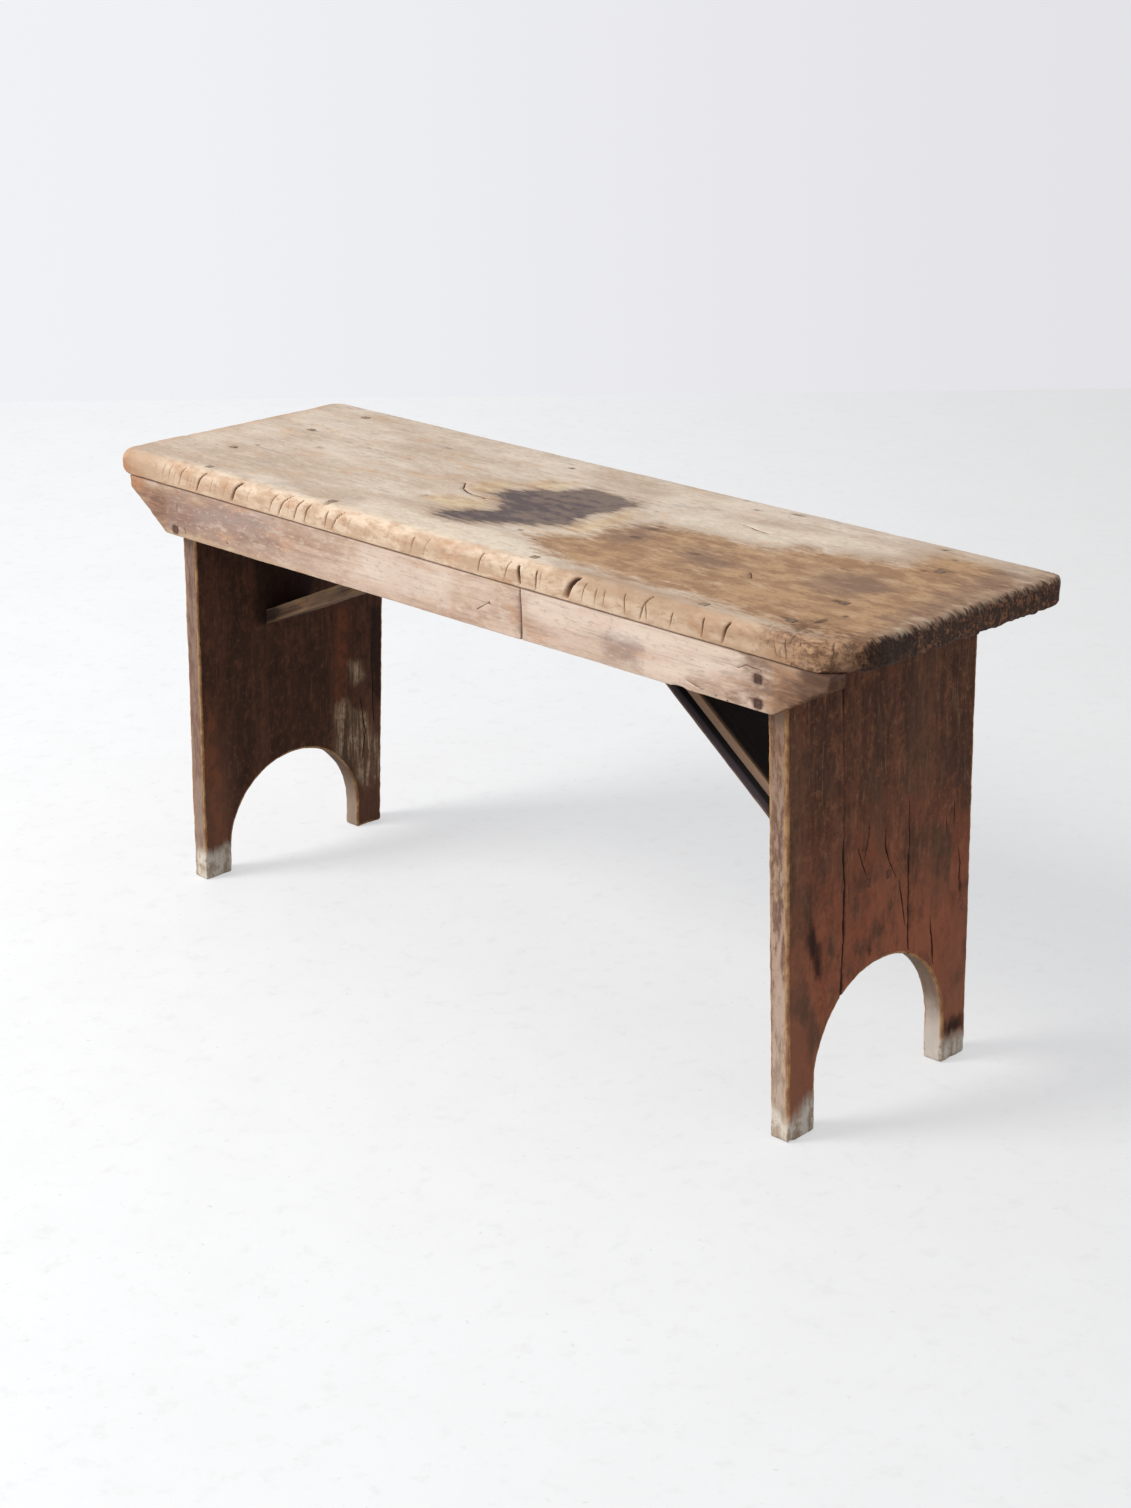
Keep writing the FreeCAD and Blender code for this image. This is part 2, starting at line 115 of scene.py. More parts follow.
def outline(corners, radii, margin, step, fine=None, arches=None):
    # an anticlockwise outline, and the same points moved in by the margin for the net on each face
    # a radius of 0 keeps the corner sharp; fine gives places along a side, arches a side's centre
    fine, arches = fine or {}, arches or {}
    corners = [np.array(corner, float) for corner in corners]
    count = len(corners)
    plan, ring, ends = [], [], []
    for index in range(count):
        here = corners[index]
        back = corners[index - 1] - here
        ahead = corners[(index + 1) % count] - here
        if index - 1 in arches:
            back = np.array([1.0, 0.0])
        if index in arches:
            ahead = np.array([1.0, 0.0])
        back, ahead = back / np.linalg.norm(back), ahead / np.linalg.norm(ahead)
        left = np.array([-ahead[1], ahead[0]])
        right = np.array([back[1], -back[0]])
        inward = left + right
        inward /= np.linalg.norm(inward)
        sharp = max(inward @ left, 0.2)
        radius = radii[index]
        inner = max(radius - margin, 0.25)
        middle = here + inward * radius / sharp
        innerMiddle = here + inward * (margin + inner) / sharp
        turnFrom = math.atan2(-right[1], -right[0])
        turn = (math.atan2(-left[1], -left[0]) - turnFrom) % (2 * math.pi)
        parts = max(2, round(turn * radius / min(step, radius / 2 + 0.01))) if radius else 1
        arc = []
        for part in range(parts + 1 if radius else 1):
            angle = turnFrom + turn * part / parts
            spoke = np.array([math.cos(angle), math.sin(angle)])
            if radius:
                arc.append((middle + spoke * radius, innerMiddle + spoke * inner))
            else:
                arc.append((here, here + inward * margin / sharp))
        ends.append(arc)
    for index in range(count):
        plan += [outer for outer, inner in ends[index]]
        ring += [inner for outer, inner in ends[index]]
        outerFrom, innerFrom = ends[index][-1]
        outerTo, innerTo = ends[(index + 1) % count][0]
        if index in arches:
            centre = np.array(arches[index], float)
            radius = np.linalg.norm(outerFrom - centre)
            parts = round(math.pi * radius / step)
            for part in range(1, parts):
                angle = math.pi / 2 - math.pi * part / parts
                spoke = np.array([math.cos(angle), math.sin(angle)])
                plan.append(centre + spoke * radius)
                ring.append(centre + spoke * (radius + margin))
            continue
        length = np.linalg.norm(outerTo - outerFrom)
        trim = np.linalg.norm(outerFrom - corners[index])
        places = [place - trim for place in fine.get(index, ())]
        for stop in stops(length, step, places)[1:-1]:
            plan.append(outerFrom + (outerTo - outerFrom) * stop)
            ring.append(innerFrom + (innerTo - innerFrom) * stop)
    return np.array(plan), np.array(ring)


def insidePlan(points, plan):
    inside = np.zeros(len(points), bool)
    after = np.roll(plan, -1, axis=0)
    for (x0, y0), (x1, y1) in zip(plan, after):
        crosses = (y0 > points[:, 1]) != (y1 > points[:, 1])
        if crosses.any():
            reach = x0 + (points[:, 1] - y0) / (y1 - y0 + 1e-12) * (x1 - x0)
            inside ^= crosses & (points[:, 0] < reach)
    return inside


def depthInside(points, patch):
    # how far inside a drawn patch each point lies, in mm, and below 0 outside it
    patch = np.array(patch, float)
    away = np.full(len(points), 1e9)
    for start, end in zip(patch, np.roll(patch, -1, axis=0)):
        side = end - start
        share = np.clip((points - start) @ side / (side @ side), 0, 1)
        away = np.minimum(away, np.linalg.norm(points - start - share[:, None] * side, axis=1))
    return np.where(insidePlan(points, patch), away, -away)


def nearest(points, others):
    # the distance to the nearest of the others, and which one it is, worked out for some at a time
    best = np.full(len(points), 1e9)
    which = np.zeros(len(points), int)
    atOnce = 400
    for start in range(0, len(others), atOnce):
        part = others[start:start + atOnce]
        away = np.linalg.norm(points[:, None, :] - part[None, :, :], axis=2)
        found = away.argmin(axis=1)
        away = away[np.arange(len(points)), found]
        which = np.where(away < best, found + start, which)
        best = np.minimum(best, away)
    return best, which


# Boards: a rib of points round the edge at each point of the plan, and a net over each face

net = {
    "rowShare": 0.87,  # from row to row, as a share of the step along a row
    "wobbleShare": 0.12,
    "ringShare": 0.55,  # how near the net comes to the ring, to a scar and to a crack, in shares of a step
    "scarShare": 0.3,
    "crackShare": 0.45,
    "ringRoom": 0.35,  # mm between the ring and the points of a scar or a crack
}


def crackPoints(cracks):
    # a crack's path is a list of (along, across, width); its line wanders and its width is ragged
    extra = []
    for number, crack in enumerate(cracks):
        path = np.array(crack["path"], float)
        length = np.linalg.norm(np.diff(path[:, :2], axis=0), axis=1).sum()
        total = max(4, round(length / 1.5))
        share = np.linspace(0, 1, total)
        knots = np.linspace(0, 1, len(path))
        line = np.stack([np.interp(share, knots, path[:, axis]) for axis in (0, 1)], axis=1)
        widths = np.interp(share, knots, path[:, 2])
        ahead = np.gradient(line, axis=0)
        ahead /= np.linalg.norm(ahead, axis=1)[:, None]
        side = np.stack([-ahead[:, 1], ahead[:, 0]], axis=1)
        probe = np.column_stack([line, np.full(total, number * 17.0)])
        wander = softNoise(probe, (15, 15, 15), 7) + 0.5 * softNoise(probe, (4, 4, 4), 8)
        line += side * (wander * crack.get("wander", 0.9))[:, None]
        widths *= 1 + crack.get("ragged", 0.45) * softNoise(probe, (7, 7, 7), 9)
        crack["line"], crack["widths"] = line, np.maximum(widths, 0.5)
        for offset in (-0.62, -0.3, 0, 0.3, 0.62):
            extra.append(line + side * (crack["widths"] * offset)[:, None])
    return extra


def scarPoints(scars):
    extra = []
    for x, y, halfLength, halfWidth, *rest in scars:
        # rings of points, each with its reach as a share of the scar's size
        for reach, count in ((0.0, 1), (0.4, 5), (0.8, 8), (1.15, 10), (1.5, 10)):
            turn = np.arange(count) * 2 * math.pi / count + reach
            ring = np.column_stack([np.cos(turn) * halfLength, np.sin(turn) * halfWidth])
            extra.append(ring * reach + (x, y))
    return extra


def edgeRibs(plan, ring, thick, look):
    # rows of points up each rib, with how far in from the outline and how high each row is
    count = len(plan)
    margin = look["margin"]
    topRound = np.broadcast_to(look["topRound"](plan), count)
    bottomRound = np.broadcast_to(look["bottomRound"](plan), count)
    turns = np.linspace(0, math.pi / 2, look["roundSteps"])
    insets = [np.full(count, margin), (margin + bottomRound) / 2]
    heights = [np.zeros(count), np.zeros(count)]
    for turn in turns[::-1]:
        insets.append(bottomRound * (1 - math.cos(turn)))
        heights.append(bottomRound * (1 - math.sin(turn)))
    for share in look.get("wallRows", np.linspace(0, 1, 7)[1:-1]):
        insets.append(np.zeros(count))
        heights.append(bottomRound + (thick - topRound - bottomRound) * share)
    for turn in turns:
        insets.append(topRound * (1 - math.cos(turn)))
        heights.append(thick - topRound * (1 - math.sin(turn)))
    insets += [(margin + topRound) / 2, np.full(count, margin)]
    heights += [np.full(count, float(thick)), np.full(count, float(thick))]
    insets, heights = np.array(insets).T, np.array(heights).T
    share = (insets / margin)[:, :, None]
    ribs = np.empty((*insets.shape, 3))
    ribs[:, :, :2] = plan[:, None, :] * (1 - share) + ring[:, None, :] * share
    if "shift" in look:
        ribs[:, :, :2] += look["shift"](plan)[:, None, :] * (1 - share)
    ribs[:, :, 2] = heights

    # how far each point is from the nearer arris
    fromTop = np.maximum(insets - topRound[:, None], 0)
    fromTop = fromTop + np.maximum(thick - topRound[:, None] - heights, 0)
    fromBottom = np.maximum(insets - bottomRound[:, None], 0)
    fromBottom = fromBottom + np.maximum(heights - bottomRound[:, None], 0)
    return ribs, np.minimum(fromTop, fromBottom).reshape(-1)


def faceNet(ring, look):
    # the points over a face, closer where there are scars and cracks, and the triangles between them
    step = look["faceStep"]
    low, high = ring.min(axis=0), ring.max(axis=0)
    across = np.arange(low[0], high[0], step)
    up = np.arange(low[1], high[1], step * net["rowShare"])
    knots = np.array([(x + (row % 2) * step / 2, y) for row, y in enumerate(up) for x in across])
    wobble = softNoise(np.column_stack([knots, knots[:, 0]]), (9, 9, 9), 3)
    knots = knots + wobble[:, None] * step * net["wobbleShare"]
    knots = knots[insidePlan(knots, ring)]
    knots = knots[nearest(knots, ring)[0] > step * net["ringShare"]]
    for extra, room in (
        (scarPoints(look.get("scars", ())), net["scarShare"]),
        (crackPoints(look.get("cracks", ())), net["crackShare"]),
    ):
        if extra:
            extra = np.concatenate(extra)
            knots = knots[nearest(knots, extra)[0] > step * room]
            extra = extra[insidePlan(extra, ring)]
            extra = extra[nearest(extra, ring)[0] > net["ringRoom"]]
            knots = np.concatenate([knots, extra])
    count = len(ring)
    flat = [Vector(point) for point in np.concatenate([ring, knots])]
    loop = [(index, (index + 1) % count) for index in range(count)]
    found = delaunay_2d_cdt(flat, loop, [], 1, 1e-5)
    source = [given[0] for given in found[3]]  # which given point each found one is
    return knots, np.array([[source[corner] for corner in face] for face in found[2]])


def boardFaces(count, rows, knotCount, triangles):
    # the walls between the ribs, then the top face and the lower one
    # the ribs' points come first, then the net's on the top face, then the net's below
    topStart = count * rows
    bottomStart = topStart + knotCount
    onTop = np.where(triangles < count, triangles * rows + rows - 1, triangles - count + topStart)
    below = np.where(triangles < count, triangles * rows, triangles - count + bottomStart)
    first = np.arange(count)[:, None] * rows + np.arange(rows - 1)[None, :]
    second = (np.arange(count)[:, None] + 1) % count * rows + np.arange(rows - 1)[None, :]
    walls = np.stack([first, second, second + 1, first + 1], axis=2).reshape(-1, 4)
    return walls.tolist() + onTop.tolist() + below[:, ::-1].tolist()


def crackAndScar(board, upper, look):
    # the points after cracks and scars, and how hurt and how marked each one is
    places = board.copy()
    hurt, mark = np.zeros(len(board)), np.zeros(len(board))
    for crack in look.get("cracks", ()):
        away, which = nearest(board[:, :2], crack["line"])
        onTopFace = crack.get("face", "top") == "top"
        share = np.clip(1 - away / (crack["widths"][which] / 2), 0, 1) ** 0.7
        share *= upper if onTopFace else ~upper
        places[:, 2] -= share * crack["depth"] * (1 if onTopFace else -1)
        hurt = np.maximum(hurt, share)
    for x, y, halfLength, halfWidth, depth, tone in look.get("scars", ()):
        away = np.hypot((board[:, 0] - x) / halfLength, (board[:, 1] - y) / halfWidth)
        places[:, 2] -= np.clip(1 - away, 0, 1) * depth * upper
        mark = np.maximum(mark, np.clip(1.3 - away, 0, 1) * tone * upper)
    return places, hurt, mark


def zoneDepths(board, upper, zones):
    # how far inside the patches of each zone every point lies
    depths = {}
    sides = {"top": upper, "under": ~upper, "both": True}
    for zone, patches in zones.items():
        depths[zone] = np.full(len(board), -60.0)
        for face, patch in patches:
            inside = depthInside(board[:, :2], patch)
            depths[zone] = np.where(sides[face], np.maximum(depths[zone], inside), depths[zone])
    return depths


def makeBoard(name, plan, ring, thick, look, toBench, mirrored=False):
    ribs, ribEdge = edgeRibs(plan, ring, thick, look)
    knots, triangles = faceNet(ring, look)
    faces = boardFaces(*ribs.shape[:2], len(knots), triangles)
    if mirrored:
        faces = [face[::-1] for face in faces]
    board = np.concatenate([  # each point's place on the sawn board, before any damage
        ribs.reshape(-1, 3),
        np.column_stack([knots, np.full(len(knots), float(thick))]),
        np.column_stack([knots, np.zeros(len(knots))]),
    ])
    upper = board[:, 2] > thick / 2
    faceEdge = nearest(knots, ring)[0] + look["margin"]
    edge = np.concatenate([ribEdge, faceEdge, faceEdge])
    places, hurt, mark = crackAndScar(board, upper, look)
    places, hurt = look["carve"](board, places, hurt, edge)

    mesh = bpy.data.meshes.new(name)
    mesh.from_pydata((toBench(places) * mm).tolist(), [], faces)
    mesh.polygons.foreach_set("use_smooth", [True] * len(faces))
    layers = {"wear": np.exp(-edge / look["wearReach"]), "hurt": hurt, "mark": mark}
    layers.update(zoneDepths(board, upper, look.get("zones", {})))
    for label, values in layers.items():
        layer = mesh.attributes.new(label, "FLOAT", "POINT")
        layer.data.foreach_set("value", values)
    layer = mesh.attributes.new("board", "FLOAT_VECTOR", "POINT")
    layer.data.foreach_set("vector", (board * mm).ravel())
    mesh.validate()
    print(name, "vertices", len(places), "faces", len(faces))
    return addObject(name, mesh)


def roughen(places, board, size, amount, seed):
    # moves points every way by noise, more where amount is larger
    for axis in range(3):
        places[:, axis] += softNoise(board + axis * 31.0, size, seed + axis) * amount
    return places


def takeBites(places, hurt, bites, strength):
    # pushes the wood inside each ellipsoid out through its far side
    for centre, radii, towards in bites:
        radii = np.array(radii, float)
        towards = np.array(towards, float) / np.linalg.norm(towards)
        offset = (places - np.array(centre, float)) / radii
        aim = towards / radii
        a = aim @ aim
        b = offset @ aim
        c = (offset * offset).sum(axis=1) - 1
        root = np.sqrt(np.maximum(b * b - a * c, 0))  # of the quadratic for where the push leaves it
        travel = np.where(c < 0, (-b + root) / a, 0) * strength
        places += travel[:, None] * towards
        hurt = np.maximum(hurt, np.clip(travel / radii.min(), 0, 1) * 0.6)
    return places, hurt


# Materials: one wire class does the sums, and one method adds every other node

def tint(red, green, blue):
    # a colour as a painter reads it off a chart, 0 to 255, in the renderer's own units
    parts = [part / 255 for part in (red, green, blue)]
    linear = [part / 12.92 if part <= 0.04045 else ((part + 0.055) / 1.055) ** 2.4 for part in parts]
    return (*linear, 1.0)


def grey(level):
    return (level, level, level, 1.0)


class Wire:
    def __init__(self, shade, socket):
        self.shade = shade
        self.socket = socket

    def __add__(self, other):
        return self.shade.maths("ADD", self, other)

    def __sub__(self, other):
        return self.shade.maths("SUBTRACT", self, other)

    def __rsub__(self, other):
        return self.shade.maths("SUBTRACT", other, self)

    def __mul__(self, other):
        return self.shade.maths("MULTIPLY", self, other)

    __radd__ = __add__
    __rmul__ = __mul__


class Shade:
    def __init__(self, name, tree=None):
        self.material = None if tree else bpy.data.materials.new(name)
        if self.material:
            self.material.use_nodes = True
        self.tree = tree or self.material.node_tree
        self.tree.nodes.clear()

    def add(self, kind, settings=None, values=None, out=0):
        node = self.tree.nodes.new(kind)
        for key, value in (settings or {}).items():
            setattr(node, key, value)
        for key, value in (values or {}).items():
            if isinstance(value, Wire):
                self.tree.links.new(value.socket, node.inputs[key])
            else:
                node.inputs[key].default_value = value
        return Wire(self, node.outputs[out]) if node.outputs else None

    def maths(self, operation, *terms):
        return self.add("ShaderNodeMath", {"operation": operation}, dict(enumerate(terms)))

    def vectors(self, operation, first, second, out=0):
        return self.add("ShaderNodeVectorMath", {"operation": operation}, {0: first, 1: second}, out)

    def smooth(self, value, low, high):
        ends = {"Value": value, "From Min": low, "From Max": high}
        return self.add("ShaderNodeMapRange", {"interpolation_type": "SMOOTHSTEP"}, ends)

    def noise(self, vector, stretch, detail=4.0, roughness=0.55, shift=0.0):
        # stretch gives how many features there are in each metre along each axis
        scaled = self.vectors("MULTIPLY", vector, stretch)
        scaled = self.vectors("ADD", scaled, (shift, shift * 1.7, shift * 0.6))
        values = {"Vector": scaled, "Scale": 1.0, "Detail": detail, "Roughness": roughness}
        return self.add("ShaderNodeTexNoise", {"noise_dimensions": "3D"}, values)

    def mix(self, mask, first, second):
        return self.add("ShaderNodeMix", {"data_type": "RGBA"}, {0: mask, 6: first, 7: second}, 2)

    def grain(self, vector, rows, seed=0.0):
        # one noise for each row of stretch, detail, roughness and shift
        return {name: self.noise(vector, *feel, seed + shift) for name, (*feel, shift) in rows.items()}

    def glaze(self, colour, fields, rows):
        # lays on one tone for each row: field, where it starts, where it is full, strength, tone
        for name, start, full, strength, tone in rows:
            colour = self.mix(self.smooth(fields[name], start, full) * strength, colour, tone)
        return colour

    def axes(self, vector):
        return [self.add("ShaderNodeSeparateXYZ", None, {0: vector}, axis) for axis in range(3)]

    def layer(self, name):
        # a value kept at each point of the board's mesh
        return self.add("ShaderNodeAttribute", {"attribute_name": name}, None, 2)

    def place(self):
        # the place on the sawn board, in metres, before it was worn and set up
        return self.add("ShaderNodeAttribute", {"attribute_name": "board"}, None, 1)

    def finish(self, colour, roughness, bump, bumpDistance, specular=0.3, metallic=0.0):
        values = {"Height": bump, "Distance": bumpDistance, "Strength": 1.0}
        normal = self.add("ShaderNodeBump", None, values)
        values = {"Base Color": colour, "Roughness": roughness, "Normal": normal}
        values["Specular IOR Level"] = specular
        values["Metallic"] = metallic
        shader = self.add("ShaderNodeBsdfPrincipled", None, values)
        self.add("ShaderNodeOutputMaterial", None, {"Surface": shader})
        return self.material


def dress(piece, material, nodes):
    piece.data.materials.append(material)
    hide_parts(*nodes)
    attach(piece, "root")


# Seat

seat = {
    "endTaper": 3.0,
    "cornerRadii": [12.5, 42.0, 15.0, 15.0],  # front left, front right, rear right, rear left
    "frontRound": 11.5,
    "endRound": 10.0,
    "backRound": 6.0,
    "underRound": 1.6,
    "wornCorner": {"centre": (452, -118), "reach": (18, 24), "depth": 5.0},
    "hollow": {"centre": (60, -20), "reach": (260, 90), "depth": 0.7},
    "edgeStep": 1.5,
    "margin": 20.0,
    "roundSteps": 9,
    "faceStep": 5.0,
    "wearReach": 6.0,
    "biteStrength": 0.8,
    # knife cuts across the front edge: place at the foot and at the head, width, depth, height, darkness
    "chops": [
        (-403, -398, 1.2, 0.5, 22, 0.32), (-391, -384, 1.6, 0.7, 25, 0.42), (-381, -374, 1.7, 0.8, 26, 0.46),
        (-373, -366, 1.3, 0.6, 21, 0.38), (-364, -354, 1.9, 1.2, 28, 0.62), (-352, -346, 1.3, 0.6, 19, 0.42),
        (-347, -341, 1.2, 0.6, 17, 0.38), (-341, -335, 1.2, 0.6, 22, 0.4), (-337, -321, 2.7, 2.6, 29, 0.95),
        (-316, -309, 1.4, 0.8, 23, 0.42), (-309, -303, 1.2, 0.7, 22, 0.35), (-295, -287, 1.5, 0.8, 25, 0.35),
        (-283, -266, 3.8, 4.4, 30, 1.0), (-260, -252, 1.5, 0.8, 25, 0.35), (-227, -214, 2.2, 1.6, 28, 0.6),
        (-214, -194, 2.4, 2.6, 31, 0.95), (-199, -196, 1.1, 0.6, 20, 0.4), (-191, -178, 2.2, 2.2, 29, 0.85),
        (-176, -166, 2.2, 1.8, 27, 0.8), (-147, -141, 2.2, 1.5, 24, 0.6), (-138, -120, 2.4, 2.2, 28, 0.75),
        (-116, -108, 1.4, 0.8, 25, 0.35), (-62, -57, 1.3, 0.6, 24, 0.3), (-30, -24, 2.6, 1.0, 23, 0.45),
        (-14, -3, 1.8, 1.0, 27, 0.4), (56, 63, 1.6, 1.6, 27, 0.75), (88, 97, 1.5, 1.4, 26, 0.7),
        (108, 105, 3.8, 3.8, 23, 1.0), (126.5, 127.5, 1.8, 1.8, 23, 0.9), (131, 133, 1.0, 0.8, 24, 0.5),
        (162, 176, 6.4, 5.6, 30, 1.0), (180, 186, 1.5, 1.1, 27, 0.6), (195, 198, 1.4, 1.0, 22, 0.55),
        (205, 207, 1.4, 1.0, 23, 0.5), (230, 228, 1.4, 1.2, 25, 0.75), (246, 257, 1.9, 2.0, 32, 0.85),
        (254, 252, 1.4, 1.2, 20, 0.7), (279, 283, 1.5, 1.0, 20, 0.7), (286, 283, 1.1, 0.6, 14, 0.35),
        (313, 315, 1.8, 1.4, 23, 0.8), (334, 342, 3.0, 2.4, 27, 0.8), (391, 386, 1.4, 1.1, 18, 0.7),
        (401, 396, 1.6, 1.4, 25, 0.8), (409, 404, 1.2, 0.8, 22, 0.5),
    ],
    # bites out of the arrises: place, radii, direction of the cut
    "bites": [
        ((-158, -144, 19), (15, 3.6, 7.0), (0, 1, -0.4)),
        ((186, -141, 27), (10, 5.0, 4.6), (0, 0.5, -1)),
        ((215, -143, 27), (18, 4.6, 4.6), (0, 0.6, -1)),
        ((-186, 144, 27), (8, 5.0, 5.0), (0, -1, -0.6)),
        ((-131, 144, 27), (6, 3.5, 4.5), (0, -1, -0.6)),
        ((180, 143, 28), (15, 4.5, 5.0), (0, -0.5, -1)),
        ((338, 145, 27), (9, 6.0, 6.0), (0, -1, -0.7)),
        ((381, 146, 27), (6, 4.5, 5.5), (0, -1, -0.7)),
        ((-420, 146, 27), (14, 7.0, 7.0), (0, -1, -0.8)),
        ((-374, 141, 28), (9, 4.0, 4.2), (0, 0, -1)),
        ((455, -128, 25), (9, 9.0, 6.0), (-0.7, 0.7, -0.4)),
        ((436, -143, 24), (10, 4.5, 6.0), (-0.2, 1, -0.4)),
        ((466, -60, 25), (7, 9.0, 6.0), (-1, 0, -0.4)),
        ((466, 24, 25), (6, 7.0, 6.0), (-1, 0, -0.4)),
    ],
    # dents, knots and nail stains on the top: place, half length, half width, depth, darkness
    "scars": [
        (-382, 114, 9, 3.6, 0.9, 0.7), (-404, 122, 7, 2.4, 0.5, 0.5), (-370, 139, 4, 3.0, 0.4, 0.4),
        (-373, 40, 8, 4.6, 0.7, 0.65), (-373, 54, 5, 2.4, 0.3, 0.45), (-377, 12, 6, 3.0, 0.4, 0.45),
        (-375, -6, 5, 2.0, 0.3, 0.3), (-353, -19, 5, 2.0, 0.3, 0.35), (-368, -40, 6, 3.4, 0.6, 0.65),
        (-377, -62, 6, 3.4, 0.6, 0.7), (-455, -62, 7, 5.0, 0.8, 0.75), (-316, -2, 9, 8.0, 0.3, 0.38),
        (-279, 29, 5, 1.8, 0.5, 0.55), (-80, 111, 6, 4.0, 1.2, 0.85), (-225, 83, 10, 5.0, 0.3, 0.4),
        (-200, 42, 14, 8.0, 0.2, 0.35), (-374, -108, 8, 3.0, 0.4, 0.45), (-385, -123, 7, 3.0, 0.3, 0.35),
        (-152, -134, 6, 3.6, 1.4, 1.0), (-107, -52, 4, 3.0, 0.4, 0.5), (118, 134, 7, 4.0, 1.0, 0.8),
        (145, 117, 6, 4.0, 0.5, 0.5), (183, 131, 15, 5.0, 0.8, 0.75), (345, 129, 5, 3.2, 0.8, 0.7),
        (378, 126, 3, 5.0, 0.8, 0.6), (368, 111, 7, 4.0, 0.8, 0.65), (396, 107, 9, 5.5, 0.4, 0.45),
        (380, 80, 20, 8.0, 0.3, 0.5), (368, 68, 6, 4.0, 0.7, 0.6), (404, 87, 7, 1.6, 0.5, 0.6),
        (372, -47, 8, 4.6, 0.7, 0.75), (402, -74, 4, 5.0, 1.0, 0.8), (396, -98, 4, 9.0, 1.4, 0.95),
        (373, -110, 10, 6.0, 0.5, 0.6), (40, -75, 6, 4.0, 0.4, 0.6), (20, -78, 8, 2.6, 0.3, 0.5),
        (70, -88, 7, 3.4, 0.3, 0.5), (85, 52, 5, 4.0, 0.3, 0.45), (200, -24, 10, 5.0, 0.3, 0.55),
        (121, 7, 9, 8.0, 0.2, 0.55), (128, -22, 11, 6.0, 0.2, 0.6), (-52, 62, 9, 5.0, 0.2, 0.45),
        (-45, 46, 6, 4.0, 0.2, 0.4), (300, 98, 6, 2.0, 0.4, 0.4), (322, -96, 5, 2.0, 0.4, 0.4),
    ],
    "cracks": [
        {"path": [(-112, 2, 1.0), (-100, -13, 2.0), (-86, -20, 2.2), (-62, -23, 2.0)], "depth": 0.9},
        {"path": [(172, 72, 1.0), (188, 67, 2.2), (204, 65, 1.2)], "depth": 1.0},
        {"path": [(272, -37, 1.0), (280, -45, 1.6)], "depth": 0.5},
    ],
    # stains on the top, drawn as patches; they fray along the grain in the material
    "zones": {
        "stain": [("top", [(-8, 68), (-26, 46), (-46, 28), (-64, 14), (-66, -6), (-42, -20), (-24, -44),
                           (-42, -60), (-62, -80), (-50, -95), (-16, -92), (6, -76), (34, -56), (57, -38),
                           (52, -12), (54, 22), (58, 58), (36, 66), (14, 62)])],
        "brown": [("top", [(62, -84), (80, -60), (100, -42), (92, -10), (118, 20), (170, 30), (235, 28),
                           (252, 55), (300, 66), (350, 76), (345, 98), (356, 122), (400, 118), (450, 100),
                           (452, -118), (380, -126), (300, -120), (200, -122), (130, -116), (95, -104)])],
        "grey": [("top", [(100, 8), (118, 22), (134, 6), (144, -18), (128, -38), (108, -34)]),
                 ("top", [(182, -12), (205, -6), (240, -26), (242, -48), (214, -48), (192, -32)]),
                 ("top", [(306, 18), (350, 30), (384, 8), (376, -28), (340, -36), (314, -16)]),
                 ("top", [(410, 120), (446, 116), (446, -60), (428, -60), (418, 20)])],
        "cream": [("top", [(-130, -92), (40, -96), (90, -108), (128, -122), (150, -142), (-130, -142)]),
                  ("top", [(100, 40), (150, 36), (226, 42), (245, 66), (330, 84), (320, 116), (180, 84),
                           (108, 66)]),
                  ("top", [(56, 80), (96, 108), (136, 104), (120, 128), (60, 118)])],
        "gold": [("top", [(-106, -44), (-80, -30), (-48, -26), (-34, -50), (-60, -70), (-96, -66)]),
                 ("top", [(-66, 66), (-34, 74), (-28, 36), (-58, 30), (-72, 46)]),
                 ("top", [(-108, 12), (-104, 30), (-70, 34), (-70, -12), (-96, -14)]),
                 ("top", [(64, 40), (84, 30), (92, -40), (66, -56), (60, -20)])],
    },
    # the wood's noises: features in each metre along, across and through the board, detail, roughness, shift
    "grain": {
        "clouds": ((9, 24, 24), 4.0, 0.55, 0.0),
        "mottle": ((42, 95, 95), 5.0, 0.62, 3.1),
        "streaks": ((11, 165, 110), 5.0, 0.6, 5.3),
        "fibres": ((60, 900, 420), 3.0, 0.6, 7.7),
        "blush": ((22, 50, 50), 4.0, 0.6, 11.9),
        "grit": ((150, 330, 330), 4.0, 0.62, 15.5),
        "split": ((330, 60, 140), 4.0, 0.6, 27.1),
        "lumps": ((120, 170, 130), 5.0, 0.65, 2.2),
        "teeth": ((70, 420, 110), 4.0, 0.6, 3.6),
        "fuzz": ((170, 420, 330), 4.0, 0.65, 8.8),
        "lines": ((24, 430, 200), 3.0, 0.55, 19.3),
    },
    "ground": [tint(200, 177, 156), tint(224, 206, 187)],
    # tones laid over the ground: noise, where it starts, where it is full, strength, tone
    "glazes": [
        ("mottle", 0.52, 0.7, 0.34, tint(186, 157, 130)),
        ("streaks", 0.53, 0.7, 0.28, tint(178, 152, 128)),
        ("mottle", 0.47, 0.3, 0.36, tint(238, 223, 205)),
        ("blush", 0.57, 0.68, 0.4, tint(216, 174, 136)),
        ("blush", 0.42, 0.3, 0.34, tint(176, 165, 158)),
        ("grit", 0.56, 0.68, 0.42, tint(158, 130, 106)),
        ("grit", 0.43, 0.33, 0.3, tint(242, 226, 206)),
        ("lines", 0.58, 0.68, 0.3, tint(150, 124, 102)),
    ],
}
seatLow, seatHigh = nodeBox("seat_board")
seatThick = seatHigh[2] - seatLow[2]
seatHalfDepth = (seatHigh[1] - seatLow[1]) / 2
seatHalfLength = max(-seatLow[0], seatHigh[0])


